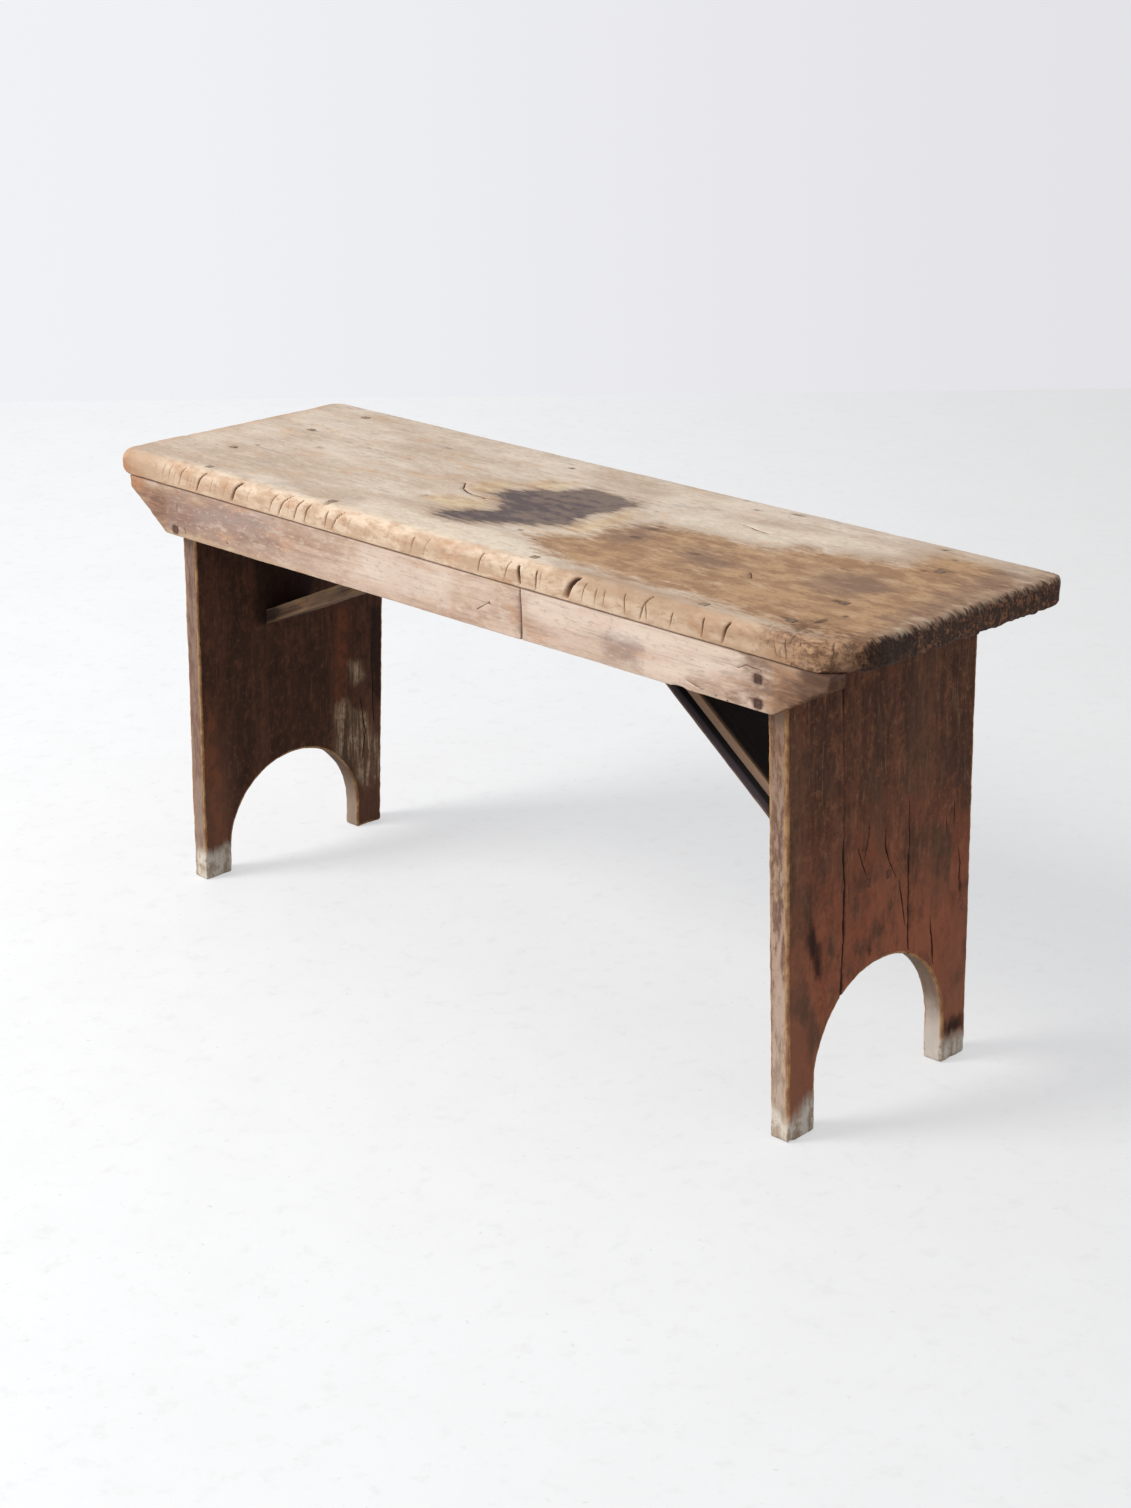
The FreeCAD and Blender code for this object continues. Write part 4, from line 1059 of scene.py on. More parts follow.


# Legs: on each board x runs up, y back and z outwards, and "under" is the face inside the bench

# spring is the height at which the arch begins to curve, and gloom is painted shade, darkening the face
# inside the bench
# edgeTones are the sawn edges' pale, dull and fresh wood; edgeFade is how brown they are near the head,
# and how bleached near the foot; archTones run up from the foot of the arch
legs = {
    "left": {
        "way": -1, "spring": 25.0, "seed": 71, "gloom": 0.5, "edgeFade": (0.0, 0.15),
        "edgeTones": [tint(152, 126, 111), tint(122, 96, 84), tint(168, 144, 127)],
        "archTones": [tint(158, 138, 121), tint(112, 90, 76)],
        "paleTones": [tint(206, 180, 150), tint(158, 126, 98)],
        "cracks": [
            {"path": [(424, 62, 1.0), (300, 58, 1.6), (190, 66, 1.0)], "depth": 1.2},
            {"path": [(250, -40, 1.2), (180, -36, 1.8), (126, -38, 2.2)], "depth": 1.4},
            {"path": [(150, 90, 1.0), (110, 98, 2.4), (70, 92, 1.4)], "depth": 1.2, "face": "under"},
            {"path": [(205, 106, 1.0), (120, 110, 2.0)], "depth": 1.0, "face": "under"},
        ],
        "scars": [(172, -78, 12, 3.0, 0.8, 0.8), (214, 30, 9, 3.0, 0.8, 0.7)],
        "bites": [
            ((1, -104, 21), (3.5, 9, 4), (1, 0, -0.4)),
            ((0, 112, 21), (4, 7, 4), (1, 0, -0.4)),
        ],
        "zones": {
            "red": [("under", [(270, 58), (262, 72), (200, 74), (140, 68), (140, 57), (205, 55)]),
                    ("under", [(205, -114), (180, -102), (120, -98), (60, -90), (30, -92), (30, -120),
                               (140, -122)]),
                    ("top", [(240, -70), (230, -50), (120, -44), (100, -80), (170, -90)]),
                    ("top", [(250, 20), (240, 44), (150, 50), (128, 20)])],
            "grey": [("top", [(400, -110), (400, -60), (300, -70), (60, -96), (40, -116)]),
                     ("top", [(380, 30), (370, 64), (240, 60), (250, 34)])],
            "pale": [("under", [(150, 56), (152, 72), (128, 80), (104, 80), (78, 68), (92, 56)]),
                     ("under", [(136, 84), (130, 101), (104, 106), (96, 114), (56, 121), (44, 100), (58, 86),
                                (100, 82)]),
                     ("under", [(192, 76), (190, 90), (172, 97), (166, 82)]),
                     ("under", [(112, 76), (108, 90), (84, 90), (76, 78)]),
                     ("both", [(34, -130), (31, -112), (33, -80), (-10, -80), (-10, -130)]),
                     ("top", [(30, 130), (26, 80), (-10, 80), (-10, 130)])],
            "dark": [("under", [(250, 104), (240, 122), (130, 122), (150, 108)]),
                     # painted shadow round the brace's foot on the face inside the bench, with a dark stain
                     ("under", [(424, -48), (424, 60), (318, 40), (268, 16), (262, -50)])],
        },
    },
    "right": {
        "way": 1, "spring": 41.0, "seed": 81, "gloom": 0.75, "edgeFade": (0.5, 0.4),
        "edgeTones": [tint(192, 164, 145), tint(124, 98, 84), tint(222, 192, 158)],
        "archTones": [tint(214, 200, 188), tint(128, 106, 91)],
        "paleTones": [tint(232, 218, 202), tint(176, 152, 130)],
        "cracks": [
            {"path": [(424, -55, 1.0), (392, -55, 1.6), (360, -53, 1.4), (310, -52, 0.8), (262, -51, 1.2),
                      (246, -51, 2.4), (190, -50, 3.0), (150, -52, 2.8), (112, -53, 3.4)], "depth": 1.8},
            {"path": [(262, 34, 0.8), (228, 36, 1.6), (206, 35, 2.2), (170, 36, 1.8), (146, 36, 2.4),
                      (118, 38, 1.8)], "depth": 1.4},
            {"path": [(146, 66, 0.8), (130, 69, 2.2), (112, 71, 2.6), (100, 72, 1.0)], "depth": 1.6},
            {"path": [(250, -18, 0.8), (236, -21, 1.8), (226, -24, 1.0)], "depth": 1.0},
            {"path": [(238, -33, 0.7), (226, -29, 1.6), (206, -20, 0.8)], "depth": 0.9},
            {"path": [(242, 3, 1.0), (230, 3, 2.4), (214, 9, 1.2), (198, 17, 0.8)], "depth": 1.2},
            {"path": [(192, 22, 0.8), (176, 26, 2.0), (160, 29, 1.6), (150, 31, 0.7)], "depth": 1.0},
            {"path": [(243, 98, 0.8), (234, 98, 2.2), (222, 97, 0.8)], "depth": 0.9},
            {"path": [(232, 87, 0.8), (225, 87, 1.8), (218, 87, 0.8)], "depth": 0.8},
            {"path": [(198, 104, 0.8), (184, 107, 2.2), (170, 106, 1.0)], "depth": 0.6},
        ],
        "scars": [
            (172, -90, 20, 5.0, 0.2, 0.85), (150, -84, 18, 4.0, 0.2, 0.8), (164, 108, 15, 4.0, 0.3, 0.8),
            (180, -50, 62, 3.6, 0.0, 0.5), (182, 36, 56, 3.2, 0.0, 0.45),
            (238, -24, 14, 7.0, 0.3, 0.5), (222, 8, 16, 6.0, 0.3, 0.5), (236, 94, 10, 6.0, 0.2, 0.5),
            (376, -54, 26, 4.0, 0.1, 0.55),
            (140, -16, 8, 5.0, 0.3, 0.7), (370, 62, 3, 5.0, 0.2, 0.2), (30, 104, 8, 13.0, 0.2, 0.85),
        ],
        "bites": [
            ((0, -116, 21), (4, 5, 4), (1, 0.2, -0.5)),
            ((1, 103, 21), (3, 10, 3), (1, 0, -0.5)),
        ],
        "zones": {
            "red": [("top", [(248, -78), (240, -60), (200, -58), (150, -60), (110, -62), (100, -88),
                             (150, -96), (205, -88)]),
                    ("top", [(255, -30), (245, -10), (200, -12), (138, -2), (132, -42), (165, -46),
                             (215, -44)]),
                    ("top", [(278, 2), (276, 8), (236, 14), (234, 2)]),
                    ("top", [(205, 99), (190, 110), (110, 98), (62, 96), (60, 84), (125, 84), (185, 92)]),
                    ("top", [(130, -98), (100, -84), (60, -84), (40, -92), (60, -100)]),
                    ("top", [(262, 34), (256, 60), (246, 60), (246, 34)])],
            "grey": [("top", [(350, -122), (350, -98), (200, -100), (60, -104), (30, -96), (30, -122)]),
                     ("top", [(228, 62), (226, 94), (160, 92), (150, 64), (190, 56)]),
                     ("top", [(386, 28), (386, 70), (260, 66), (250, 30)]),
                     ("top", [(306, -20), (300, 0), (200, 2), (200, -14)]),
                     ("under", [(300, -60), (280, 60), (140, 70), (140, -70)])],
            "pale": [("top", [(18, -130), (22, -108), (36, -98), (30, -80), (-10, -80), (-10, -130)]),
                     ("top", [(24, 76), (20, 104), (22, 130), (-10, 130), (-10, 76)]),
                     ("under", [(30, -130), (24, -80), (-10, -80), (-10, -130)]),
                     ("under", [(26, 130), (30, 80), (-10, 80), (-10, 130)])],
            "dark": [("top", [(194, -92), (176, -99), (150, -94), (136, -82), (168, -80)]),
                     ("top", [(38, 88), (40, 118), (23, 118), (24, 88)]),
                     # painted shade at the top of the face inside the bench, under the seat
                     ("under", [(424, -90), (424, 90), (300, 80), (300, -80)])],
        },
    },
}
leg = {
    "splay": 16.5,
    "footTaper": 3.3,
    "toeWidth": 37.5,
    "shoulder": 49.0,
    "outerRound": 2.2,
    "innerRound": 1.5,
    "toeRound": 2.0,
    "headRound": 0.5,
    "edgeStep": 2.0,
    "margin": 5.0,
    "roundSteps": 5,
    "faceStep": 5.5,
    "wearReach": 2.2,
    "biteStrength": 0.7,
    "grain": {
        "clouds": ((8, 26, 26), 4.0, 0.55, 0.0),
        "mottle": ((58, 80, 80), 6.0, 0.66, 2.3),
        "streaks": ((8, 150, 110), 5.0, 0.6, 4.9),
        "bands": ((2.2, 44, 30), 3.0, 0.55, 7.1),
        "blotches": ((20, 34, 34), 5.0, 0.62, 19.2),
        "fibres": ((50, 900, 420), 3.0, 0.6, 9.7),
        "flakes": ((150, 190, 190), 5.0, 0.68, 12.4),
        "scrapes": ((30, 340, 200), 4.0, 0.6, 15.8),
        "edgeGrain": ((40, 90, 210), 5.0, 0.68, 27.2),
        "edgePatch": ((24, 30, 80), 5.0, 0.6, 31.4),
        "specks": ((420, 420, 420), 2.0, 0.5, 23.5),
    },
    "ground": [tint(98, 64, 48), tint(124, 80, 60)],
    "glazes": [
        ("mottle", 0.5, 0.62, 0.62, tint(72, 48, 38)),
        ("mottle", 0.47, 0.35, 0.48, tint(158, 104, 74)),
        ("streaks", 0.53, 0.66, 0.4, tint(64, 44, 36)),
        ("flakes", 0.55, 0.65, 0.42, tint(166, 118, 86)),
        ("flakes", 0.44, 0.34, 0.5, tint(58, 38, 31)),
        ("scrapes", 0.58, 0.67, 0.36, tint(164, 128, 100)),
        ("scrapes", 0.42, 0.34, 0.4, tint(56, 38, 32)),
        # pale specks, partly flecks in the paint and partly a painted sheen
        ("specks", 0.66, 0.72, 0.3, tint(150, 124, 106)),
    ],
}


def legSizes(side):
    low, high = nodeBox(side + "_leg")
    tall = high[2] - low[2]
    wide = high[1] - low[1]
    reach = max(abs(low[0]), abs(high[0]))
    slab = high[0] - low[0] - leg["splay"]
    return tall, wide, slab, reach


def legPlan(side):
    tall, wide, *rest = legSizes(side)
    spring = legs[side]["spring"]
    half = wide / 2
    radius = half - leg["toeWidth"]
    toe = half - leg["footTaper"]
    shoulder = tall - leg["shoulder"]
    points = [
        (0, -toe), (shoulder, -half), (tall, -half), (tall, half), (shoulder, half),
        (0, toe), (0, radius), (spring, radius), (spring, -radius), (0, -radius),
    ]
    toeRound, headRound = leg["toeRound"], leg["headRound"]
    radii = [toeRound, 0, headRound, headRound, 0, toeRound, toeRound, 0, 0, toeRound]
    return outline(points, radii, leg["margin"], leg["edgeStep"], None, {7: (spring, 0)})


def legShift(plan, side):
    tall, wide, *rest = legSizes(side)
    seed = legs[side]["seed"]
    radius = wide / 2 - leg["toeWidth"]
    probe = np.column_stack([plan, np.full(len(plan), seed)])
    slow = evenNoise(probe, (70, 70, 70), seed)
    quick = evenNoise(probe, (9, 9, 9), seed + 1)
    outside = np.abs(plan[:, 1]) > radius + leg["toeWidth"] * 0.8
    free = smoothStep(tall - plan[:, 0], leg["shoulder"], leg["shoulder"] + 30)
    arch = (np.abs(plan[:, 1]) < radius - 1) & (plan[:, 0] > legs[side]["spring"])
    shift = np.zeros((len(plan), 2))
    shift[:, 1] = -np.sign(plan[:, 1]) * outside * free * (0.6 * slow + 0.5 * quick)
    shift[:, 0] = arch * (0.9 * slow + 0.6 * quick)
    return shift


def legRound(plan, side, size):
    tall = legSizes(side)[0]
    probe = np.column_stack([plan, np.full(len(plan), legs[side]["seed"] + 5)])
    near = smoothStep(tall - plan[:, 0], 1, 6)
    return 0.4 + near * size * (0.75 + 0.4 * softNoise(probe, (26, 26, 26), legs[side]["seed"] + 2))


def carveLeg(side):
    tall, wide, slab, *rest = legSizes(side)
    seed = legs[side]["seed"]

    def carve(board, places, hurt, edge):
        outer = smoothStep(board[:, 2], slab * 0.6, slab)
        inner = 1 - smoothStep(board[:, 2], 0, slab * 0.4)
        slow = evenNoise(board, (120, 30, 60), seed + 10)
        quick = evenNoise(board, (40, 5, 30), seed + 11)
        places[:, 2] -= outer * (0.5 * slow + 0.22 * quick)
        places[:, 2] += inner * (0.4 * slow + 0.2 * quick)
        places, hurt = takeBites(places, hurt, legs[side]["bites"], leg["biteStrength"])
        foot = 1 - smoothStep(board[:, 0], 0, 60)
        places = roughen(places, board, (6, 6, 6), np.exp(-edge / 5) * (0.3 + 0.35 * foot), seed + 12)
        places = roughen(places, board, (2.5, 2.5, 2.5), np.exp(-edge / 3) * 0.16, seed + 15)
        places = np.clip(places, (0, -wide / 2, 0), (tall, wide / 2, slab))
        return places, hurt

    return carve


def legPlace(side):
    tall, wide, slab, reach = legSizes(side)
    way = legs[side]["way"]

    def place(places):
        up, back, out = places.T
        lean = reach - leg["splay"] * up / tall - slab + out
        return np.column_stack([way * lean, back, up])

    return place


def legPaint(side):
    tall, wide, slab, *rest = legSizes(side)
    shade = Shade(side + "LegPaint")
    board = shade.place()
    up, back, out = shade.axes(board)
    seed = legs[side]["seed"] * 0.37
    grain = shade.grain(board, leg["grain"], seed)
    (clouds, mottle, streaks, bands, blotches, fibres, flakes, scrapes,
     edgeGrain, edgePatch, *rest) = grain.values()
    feather = (streaks - 0.5) * 26 + (mottle - 0.5) * 30 + (clouds - 0.5) * 14

    broad = shade.smooth(bands + (clouds - 0.5) * 0.5, 0.38, 0.62)
    colour = shade.mix(broad, *leg["ground"])
    colour = shade.glaze(colour, grain, leg["glazes"])

    # the outer face, redder towards the foot
    outer = shade.smooth(out, 0.002, 0.006)
    low = shade.smooth(up + (clouds - 0.5) * 0.1, 0.30, 0.14) * outer
    colour = shade.mix(low * shade.smooth(blotches, 0.3, 0.58) * 0.68, colour, tint(188, 112, 82))
    smoky = shade.smooth(blotches, 0.48, 0.38) * (low * 0.1 + 0.22) * outer
    colour = shade.mix(smoky, colour, tint(88, 68, 56))
    greyed = shade.smooth(shade.layer("grey") + feather * 0.8, -10, 12)
    colour = shade.mix(greyed * 0.34, colour, tint(112, 84, 66))
    red = shade.smooth(shade.layer("red") + feather, -9, 13)
    redTone = shade.mix(shade.smooth(flakes, 0.42, 0.6), tint(170, 96, 68), tint(124, 72, 54))
    colour = shade.mix(red * shade.smooth(blotches + (mottle - 0.5) * 0.6, 0.34, 0.6) * 0.6, colour, redTone)

    # the face inside the bench, darkened with painted shade as it lies in the gloom under the seat
    inner = shade.smooth(out, 0.003, 0.0012)
    colour = shade.mix(inner * legs[side]["gloom"], colour, tint(36, 20, 15))
    warm = shade.smooth(shade.layer("red") + feather * 0.8, -8, 12) * inner * shade.smooth(mottle, 0.36, 0.56)
    colour = shade.mix(warm * 0.62, colour, tint(142, 82, 54))

    # scuffs low down at the sides, painted shade at the top of the face inside the bench, then the dark
    # patches and marks of both faces
    aside = shade.smooth(shade.maths("ABSOLUTE", back), 0.07, 0.095)
    scuffed = shade.smooth(up + (clouds - 0.5) * 0.08, 0.21, 0.05) * aside
    colour = shade.mix(scuffed * 0.34, colour, tint(152, 106, 84))
    # painted shade: the face inside the bench darkens towards its top, under the seat
    colour = shade.mix(inner * shade.smooth(up, 0.3, 0.4) * 0.4, colour, tint(30, 18, 13))
    # the dark zones: dark stains, and painted shadow and shade where they lie inside the bench
    dark = shade.smooth(shade.layer("dark") + feather * 0.5, -5, 6)
    colour = shade.mix(dark * 0.75, colour, tint(38, 23, 18))
    marks = shade.smooth(shade.layer("mark") + (fibres - 0.5) * 0.3 + (mottle - 0.5) * 0.7, 0.3, 0.75)
    colour = shade.mix(marks * 0.8, colour, tint(50, 31, 25))

    # the sawn edges
    sawn = shade.smooth(out, slab * mm - 0.0016, slab * mm - 0.0030) * shade.smooth(out, 0.0012, 0.0026)
    pale, dull, fresh = legs[side]["edgeTones"]
    sawnTone = shade.mix(shade.smooth(edgeGrain + (edgePatch - 0.5) * 0.9, 0.4, 0.6), pale, dull)
    sawnTone = shade.mix(shade.smooth(edgePatch, 0.54, 0.64) * 0.7, sawnTone, fresh)
    sawnTone = shade.mix(shade.smooth(flakes, 0.55, 0.65) * 0.45, sawnTone, tint(96, 74, 62))
    headFade, footFade = legs[side]["edgeFade"]
    browned = shade.smooth(up + (edgePatch - 0.5) * 0.2, 0.16, 0.36) * headFade
    sawnTone = shade.mix(browned, sawnTone, tint(122, 86, 62))
    bleached = shade.smooth(up + (edgePatch - 0.5) * 0.14, 0.2, 0.03) * footFade
    sawnTone = shade.mix(bleached, sawnTone, tint(228, 208, 186))
    colour = shade.mix(sawn * 0.88, colour, sawnTone)
    arris = shade.smooth(shade.layer("wear") + (flakes - 0.5) * 0.9 + (mottle - 0.5) * 0.7, 0.58, 0.88)
    goldTone = shade.mix(shade.smooth(mottle, 0.4, 0.6), tint(214, 168, 116), tint(166, 118, 80))
    colour = shade.mix(arris * (1.0 - sawn * 0.4) * 0.72, colour, goldTone)

    # bare wood where the paint has gone, and the bleached feet
    ragged = (mottle - 0.5) * 18 + (flakes - 0.5) * 10 + (streaks - 0.5) * 26
    bare = shade.smooth(shade.layer("pale") + ragged, -7, 7)
    paleTone = shade.mix(shade.smooth(flakes + (mottle - 0.5) * 0.6, 0.4, 0.6), *legs[side]["paleTones"])
    footPatches = shade.smooth(mottle + (streaks - 0.5) * 0.8, 0.4, 0.62)
    footTone = shade.mix(footPatches, tint(232, 220, 204), tint(186, 164, 143))
    footFlakes = shade.smooth(flakes + (mottle - 0.5) * 0.5, 0.54, 0.64)
    footTone = shade.mix(footFlakes * 0.5, footTone, tint(158, 128, 104))
    foot = shade.smooth(up, 0.044, 0.036)
    paleTone = shade.mix(foot, paleTone, footTone)
    worn = 1.0 - shade.smooth(streaks + (scrapes - 0.5) * 0.9, 0.46, 0.62) * (1.0 - foot) * 0.85
    colour = shade.mix(bare * worn * 0.94, colour, paleTone)

    # the sawn edge inside the arch, and the cracks
    radius = (wide / 2 - leg["toeWidth"]) * mm
    inArch = sawn * shade.smooth(shade.maths("ABSOLUTE", back), radius + 0.003, radius + 0.0005)
    inArch = inArch * shade.smooth(up, 0.19, 0.16)
    archTone = shade.mix(shade.smooth(up + (mottle - 0.5) * 0.03, 0.024, 0.072), *legs[side]["archTones"])
    colour = shade.mix(inArch * 0.85, colour, archTone)
    colour = shade.mix(shade.smooth(shade.layer("hurt"), 0.1, 0.55) * 0.9, colour, tint(36, 24, 20))
    roughness = 0.84 - streaks * 0.16
    height = streaks * 0.3 + mottle * 0.4 + flakes * 0.4 + fibres * 0.15 + scrapes * 0.2
    return shade.finish(colour, roughness, height, 0.0011, 0.14)


print("making the legs")
for side in ("left", "right"):
    legLook = {
        **leg,
        **legs[side],
        "topRound": lambda plan, side=side: legRound(plan, side, leg["outerRound"]),
        "bottomRound": lambda plan, side=side: legRound(plan, side, leg["innerRound"]),
        "shift": lambda plan, side=side: legShift(plan, side),
        "carve": carveLeg(side),
    }
    name, thick = side + "BootjackLeg", legSizes(side)[2]
    mirrored = legs[side]["way"] > 0
    legPiece = makeBoard(name, *legPlan(side), thick, legLook, legPlace(side), mirrored)
    dress(legPiece, legPaint(side), [side + "_leg"])


# Braces: on each board x runs up from the leg, y back and z towards the seat

braces = {
    "left": {
        "way": -1, "thick": 14.0, "seed": 91, "groove": 0.0, "tongue": 0.0,
        "groundFade": (0.38, 0.62),
        "ground": [tint(140, 112, 90), tint(84, 62, 48)],
        "glazes": [
            ("mottle", 0.53, 0.66, 0.6, tint(160, 120, 82)),
            ("mottle", 0.46, 0.34, 0.5, tint(84, 62, 50)),
        ],
    },
    "right": {
        "way": 1, "thick": 24.0, "seed": 95, "groove": 7.0, "tongue": 6.5,
        "groundFade": (0.36, 0.66),
        # painted shade: the right brace is coloured nearly black, as it lies in the shade under the seat
        "ground": [tint(46, 32, 27), tint(26, 18, 16)],
        "glazes": [],
    },
}
brace = {
    "width": 60.0,
    "grooveWidth": 7.5,
    "grooveWall": 0.05,  # rows of points this far to each side make the groove's walls steep
    "tongueWidth": 7.0,
    "edgeBand": 0.6,  # points this near an edge are moved to make the groove and the tongue
    "cornerRound": 0.8,
    "arris": 0.9,
    "edgeStep": 2.5,
    "margin": 2.5,
    "roundSteps": 4,
    "faceStep": 6.0,
    "wearReach": 4.0,
    "grain": {
        "mottle": ((34, 95, 95), 5.0, 0.62, 0.0),
        "streaks": ((9, 190, 190), 5.0, 0.6, 3.3),
        "fibres": ((60, 700, 700), 3.0, 0.6, 5.7),
    },
}


def braceFrame(side):
    low, high = nodeBox(side + "_brace")
    tall = legSizes(side)[0]
    rise = high[2] - low[2]
    reach = max(abs(low[0]), abs(high[0]))
    head = min(abs(low[0]), abs(high[0]))
    slope = math.atan2(rise, reach - head)
    length = math.hypot(rise, reach - head)
    rake = slope + math.atan2(leg["splay"], tall)
    return low, reach, slope, length, rake


def carveBrace(side):
    spec = braces[side]

    def carve(board, places, hurt, edge):
        quick = evenNoise(board, (30, 5, 20), spec["seed"])
        face = np.where(board[:, 2] > spec["thick"] / 2, -1, 1)
        places[:, 2] += face * 0.3 * quick * (edge > 0.5)
        middle = np.abs(board[:, 2] - spec["thick"] / 2)
        front = (board[:, 1] < brace["edgeBand"]) & (middle < brace["grooveWidth"] / 2)
        rear = (board[:, 1] > brace["width"] - brace["edgeBand"]) & (middle < brace["tongueWidth"] / 2)
        places[:, 1] += np.where(front, spec["groove"], 0) + np.where(rear, spec["tongue"], 0)
        # the floor of the groove is marked in the same layer as the cuts and cracks, and the material paints
        # it near black: painted shade in the groove
        if spec["groove"]:
            hurt = np.maximum(hurt, front * 1.0)
        places = roughen(places, board, (9, 9, 9), np.exp(-edge / 3) * 0.15, spec["seed"] + 2)
        places[:, 1] = np.clip(places[:, 1], 0, brace["width"] + spec["tongue"])
        return places, hurt

    return carve


def bracePlace(side):
    spec = braces[side]
    low, reach, slope, length, rake = braceFrame(side)

    def place(places):
        along, back, out = places.T
        foot = out * math.tan(rake)
        head = length - out / math.tan(slope)
        run = foot + along / length * (head - foot)
        x = reach - run * math.cos(slope) + out * math.sin(slope)
        z = low[2] + run * math.sin(slope) + out * math.cos(slope)
        return np.column_stack([spec["way"] * x, low[1] + back, z])

    return place


def braceWood(side):
    spec = braces[side]
    shade = Shade(side + "BraceWood")
    board = shade.place()
    along, back, out = shade.axes(board)
    grain = shade.grain(board, brace["grain"], spec["seed"])
    mottle, streaks, fibres = grain.values()
    colour = shade.mix(shade.smooth(streaks, *spec["groundFade"]), *spec["ground"])
    colour = shade.glaze(colour, grain, spec["glazes"])
    if spec["groove"]:
        lip = shade.smooth(back, 0.005, 0.001)
        lowLip = shade.smooth(out, 0.0094, 0.0084) * lip
        colour = shade.mix(lowLip * 0.85, colour, tint(70, 58, 62))
        highLip = shade.smooth(out, 0.0146, 0.0156) * lip
        colour = shade.mix(highLip * 0.9, colour, tint(158, 126, 104))
        # painted shade: the groove is painted near black
        colour = shade.mix(shade.smooth(shade.layer("hurt"), 0.02, 0.3) * 0.95, colour, tint(16, 12, 12))
    else:
        # painted shade: the foot of the brace, where it meets the leg, is darkened
        foot = shade.smooth(along + (mottle - 0.5) * 0.03, 0.036, 0.012)
        colour = shade.mix(foot * 0.85, colour, tint(58, 42, 35))
    arris = shade.smooth(shade.layer("wear") + (mottle - 0.5), 0.7, 0.95)
    colour = shade.mix(arris * 0.35, colour, tint(176, 140, 104))
    roughness = 0.8 - streaks * 0.15
    return shade.finish(colour, roughness, streaks * 0.5 + fibres * 0.4, 0.0006, 0.22)


print("making the braces")
for side in ("left", "right"):
    spec = braces[side]
    length = braceFrame(side)[3]
    width = brace["width"]
    points = [(0, 0), (length, 0), (length, width), (0, width)]
    plan, ring = outline(points, [brace["cornerRound"]] * 4, brace["margin"], brace["edgeStep"])
    middle, half = spec["thick"] / 2, brace["grooveWidth"] / 2
    span = spec["thick"] - 2 * brace["arris"]
    wall = brace["grooveWall"]
    steps = [half + wall, half - wall, brace["tongueWidth"] / 2 - wall] if spec["groove"] else [3.0]
    rowsAt = [middle - step for step in steps] + [middle] + [middle + step for step in steps[::-1]]
    braceLook = {
        **brace,
        "topRound": lambda plan: brace["arris"],
        "bottomRound": lambda plan: brace["arris"],
        "wallRows": [(row - brace["arris"]) / span for row in rowsAt],
        "carve": carveBrace(side),
    }
    name, mirrored = side + "BevelledBrace", spec["way"] > 0
    bracePiece = makeBoard(name, plan, ring, spec["thick"], braceLook, bracePlace(side), mirrored)
    dress(bracePiece, braceWood(side), [side + "_brace"])


# Nails: each is a finer copy of its CAD solid, hammered out of true and rusted

nails = {
    "dent": 0.35,
    "dentCell": 2.4,
    "cuts": 3,
    "iron": {  # dark, rust and bright tone
        "rusted": [tint(74, 53, 47), tint(100, 72, 62), tint(138, 106, 90)],
        "painted": [tint(92, 58, 44), tint(120, 76, 56), tint(142, 98, 74)],
        "rubbed": [tint(104, 84, 70), tint(142, 116, 96), tint(172, 146, 122)],
        "faint": [tint(142, 120, 102), tint(168, 144, 122), tint(192, 168, 146)],
    },
    "halfHidden": {
        "rusty": [tint(86, 62, 54), tint(118, 88, 76)],
        "grimy": [tint(160, 132, 116), tint(172, 144, 128)],
    },
    "finish": {  # all the other nails are rusted
        "left_seat_nails": "faint",
        "seat_to_apron_nails": "faint",
        "right_seat_nails": "rubbed",
        "left_apron_nails": "halfHidden",
        "left_brace_foot_nails": "painted",
        "right_brace_foot_nails": "painted",
    },
}


def rustedIron(name, dark, rust, bright):
    shade = Shade(name)
    place = shade.add("ShaderNodeTexCoord", None, None, 3)
    scale = shade.noise(place, (420, 420, 420), 5.0, 0.65)
    crust = shade.noise(place, (1500, 1500, 1500), 4.0, 0.6, 4.1)
    colour = shade.mix(shade.smooth(scale, 0.38, 0.64), dark, rust)
    colour = shade.mix(shade.smooth(crust, 0.54, 0.68) * 0.6, colour, bright)
    roughness = 0.9 - scale * 0.3
    return shade.finish(colour, roughness, scale + crust * 0.5, 0.0003, 0.3, 0.25)


def halfGrimyIron(name, rusty, grimy, above):
    # plain rust up to a height, and above it heads hidden under grime of the wood's colour
    shade = Shade(name)
    place = shade.add("ShaderNodeTexCoord", None, None, 3)
    up = shade.axes(place)[2]
    scale = shade.noise(place, (420, 420, 420), 5.0, 0.65)
    hidden = shade.smooth(up, above - 0.002, above + 0.002)
    colour = shade.mix(shade.smooth(scale, 0.38, 0.64), *rusty)
    grime = shade.mix(shade.smooth(scale, 0.38, 0.64), *grimy)
    colour = shade.mix(hidden, colour, grime)
    return shade.finish(colour, 0.9 - scale * 0.3, scale, 0.0003, 0.25, 0.1)


def hammered(node, name, material):
    mesh = bpy.data.meshes.new(name)
    work = bmesh.new()
    work.from_mesh(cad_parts[node].data)
    bmesh.ops.remove_doubles(work, verts=work.verts, dist=0.01 * mm)
    bmesh.ops.subdivide_edges(work, edges=work.edges, cuts=nails["cuts"], use_grid_fill=True)
    bmesh.ops.triangulate(work, faces=work.faces)
    work.normal_update()
    work.verts.ensure_lookup_table()
    places = np.array([vertex.co for vertex in work.verts]) / mm
    dent = nails["dent"] * evenNoise(places, (nails["dentCell"],) * 3, 61)
    for vertex, depth in zip(work.verts, dent):
        vertex.co -= vertex.normal * float(depth) * mm
    work.to_mesh(mesh)
    work.free()
    dress(addObject(name, mesh), material, [node])


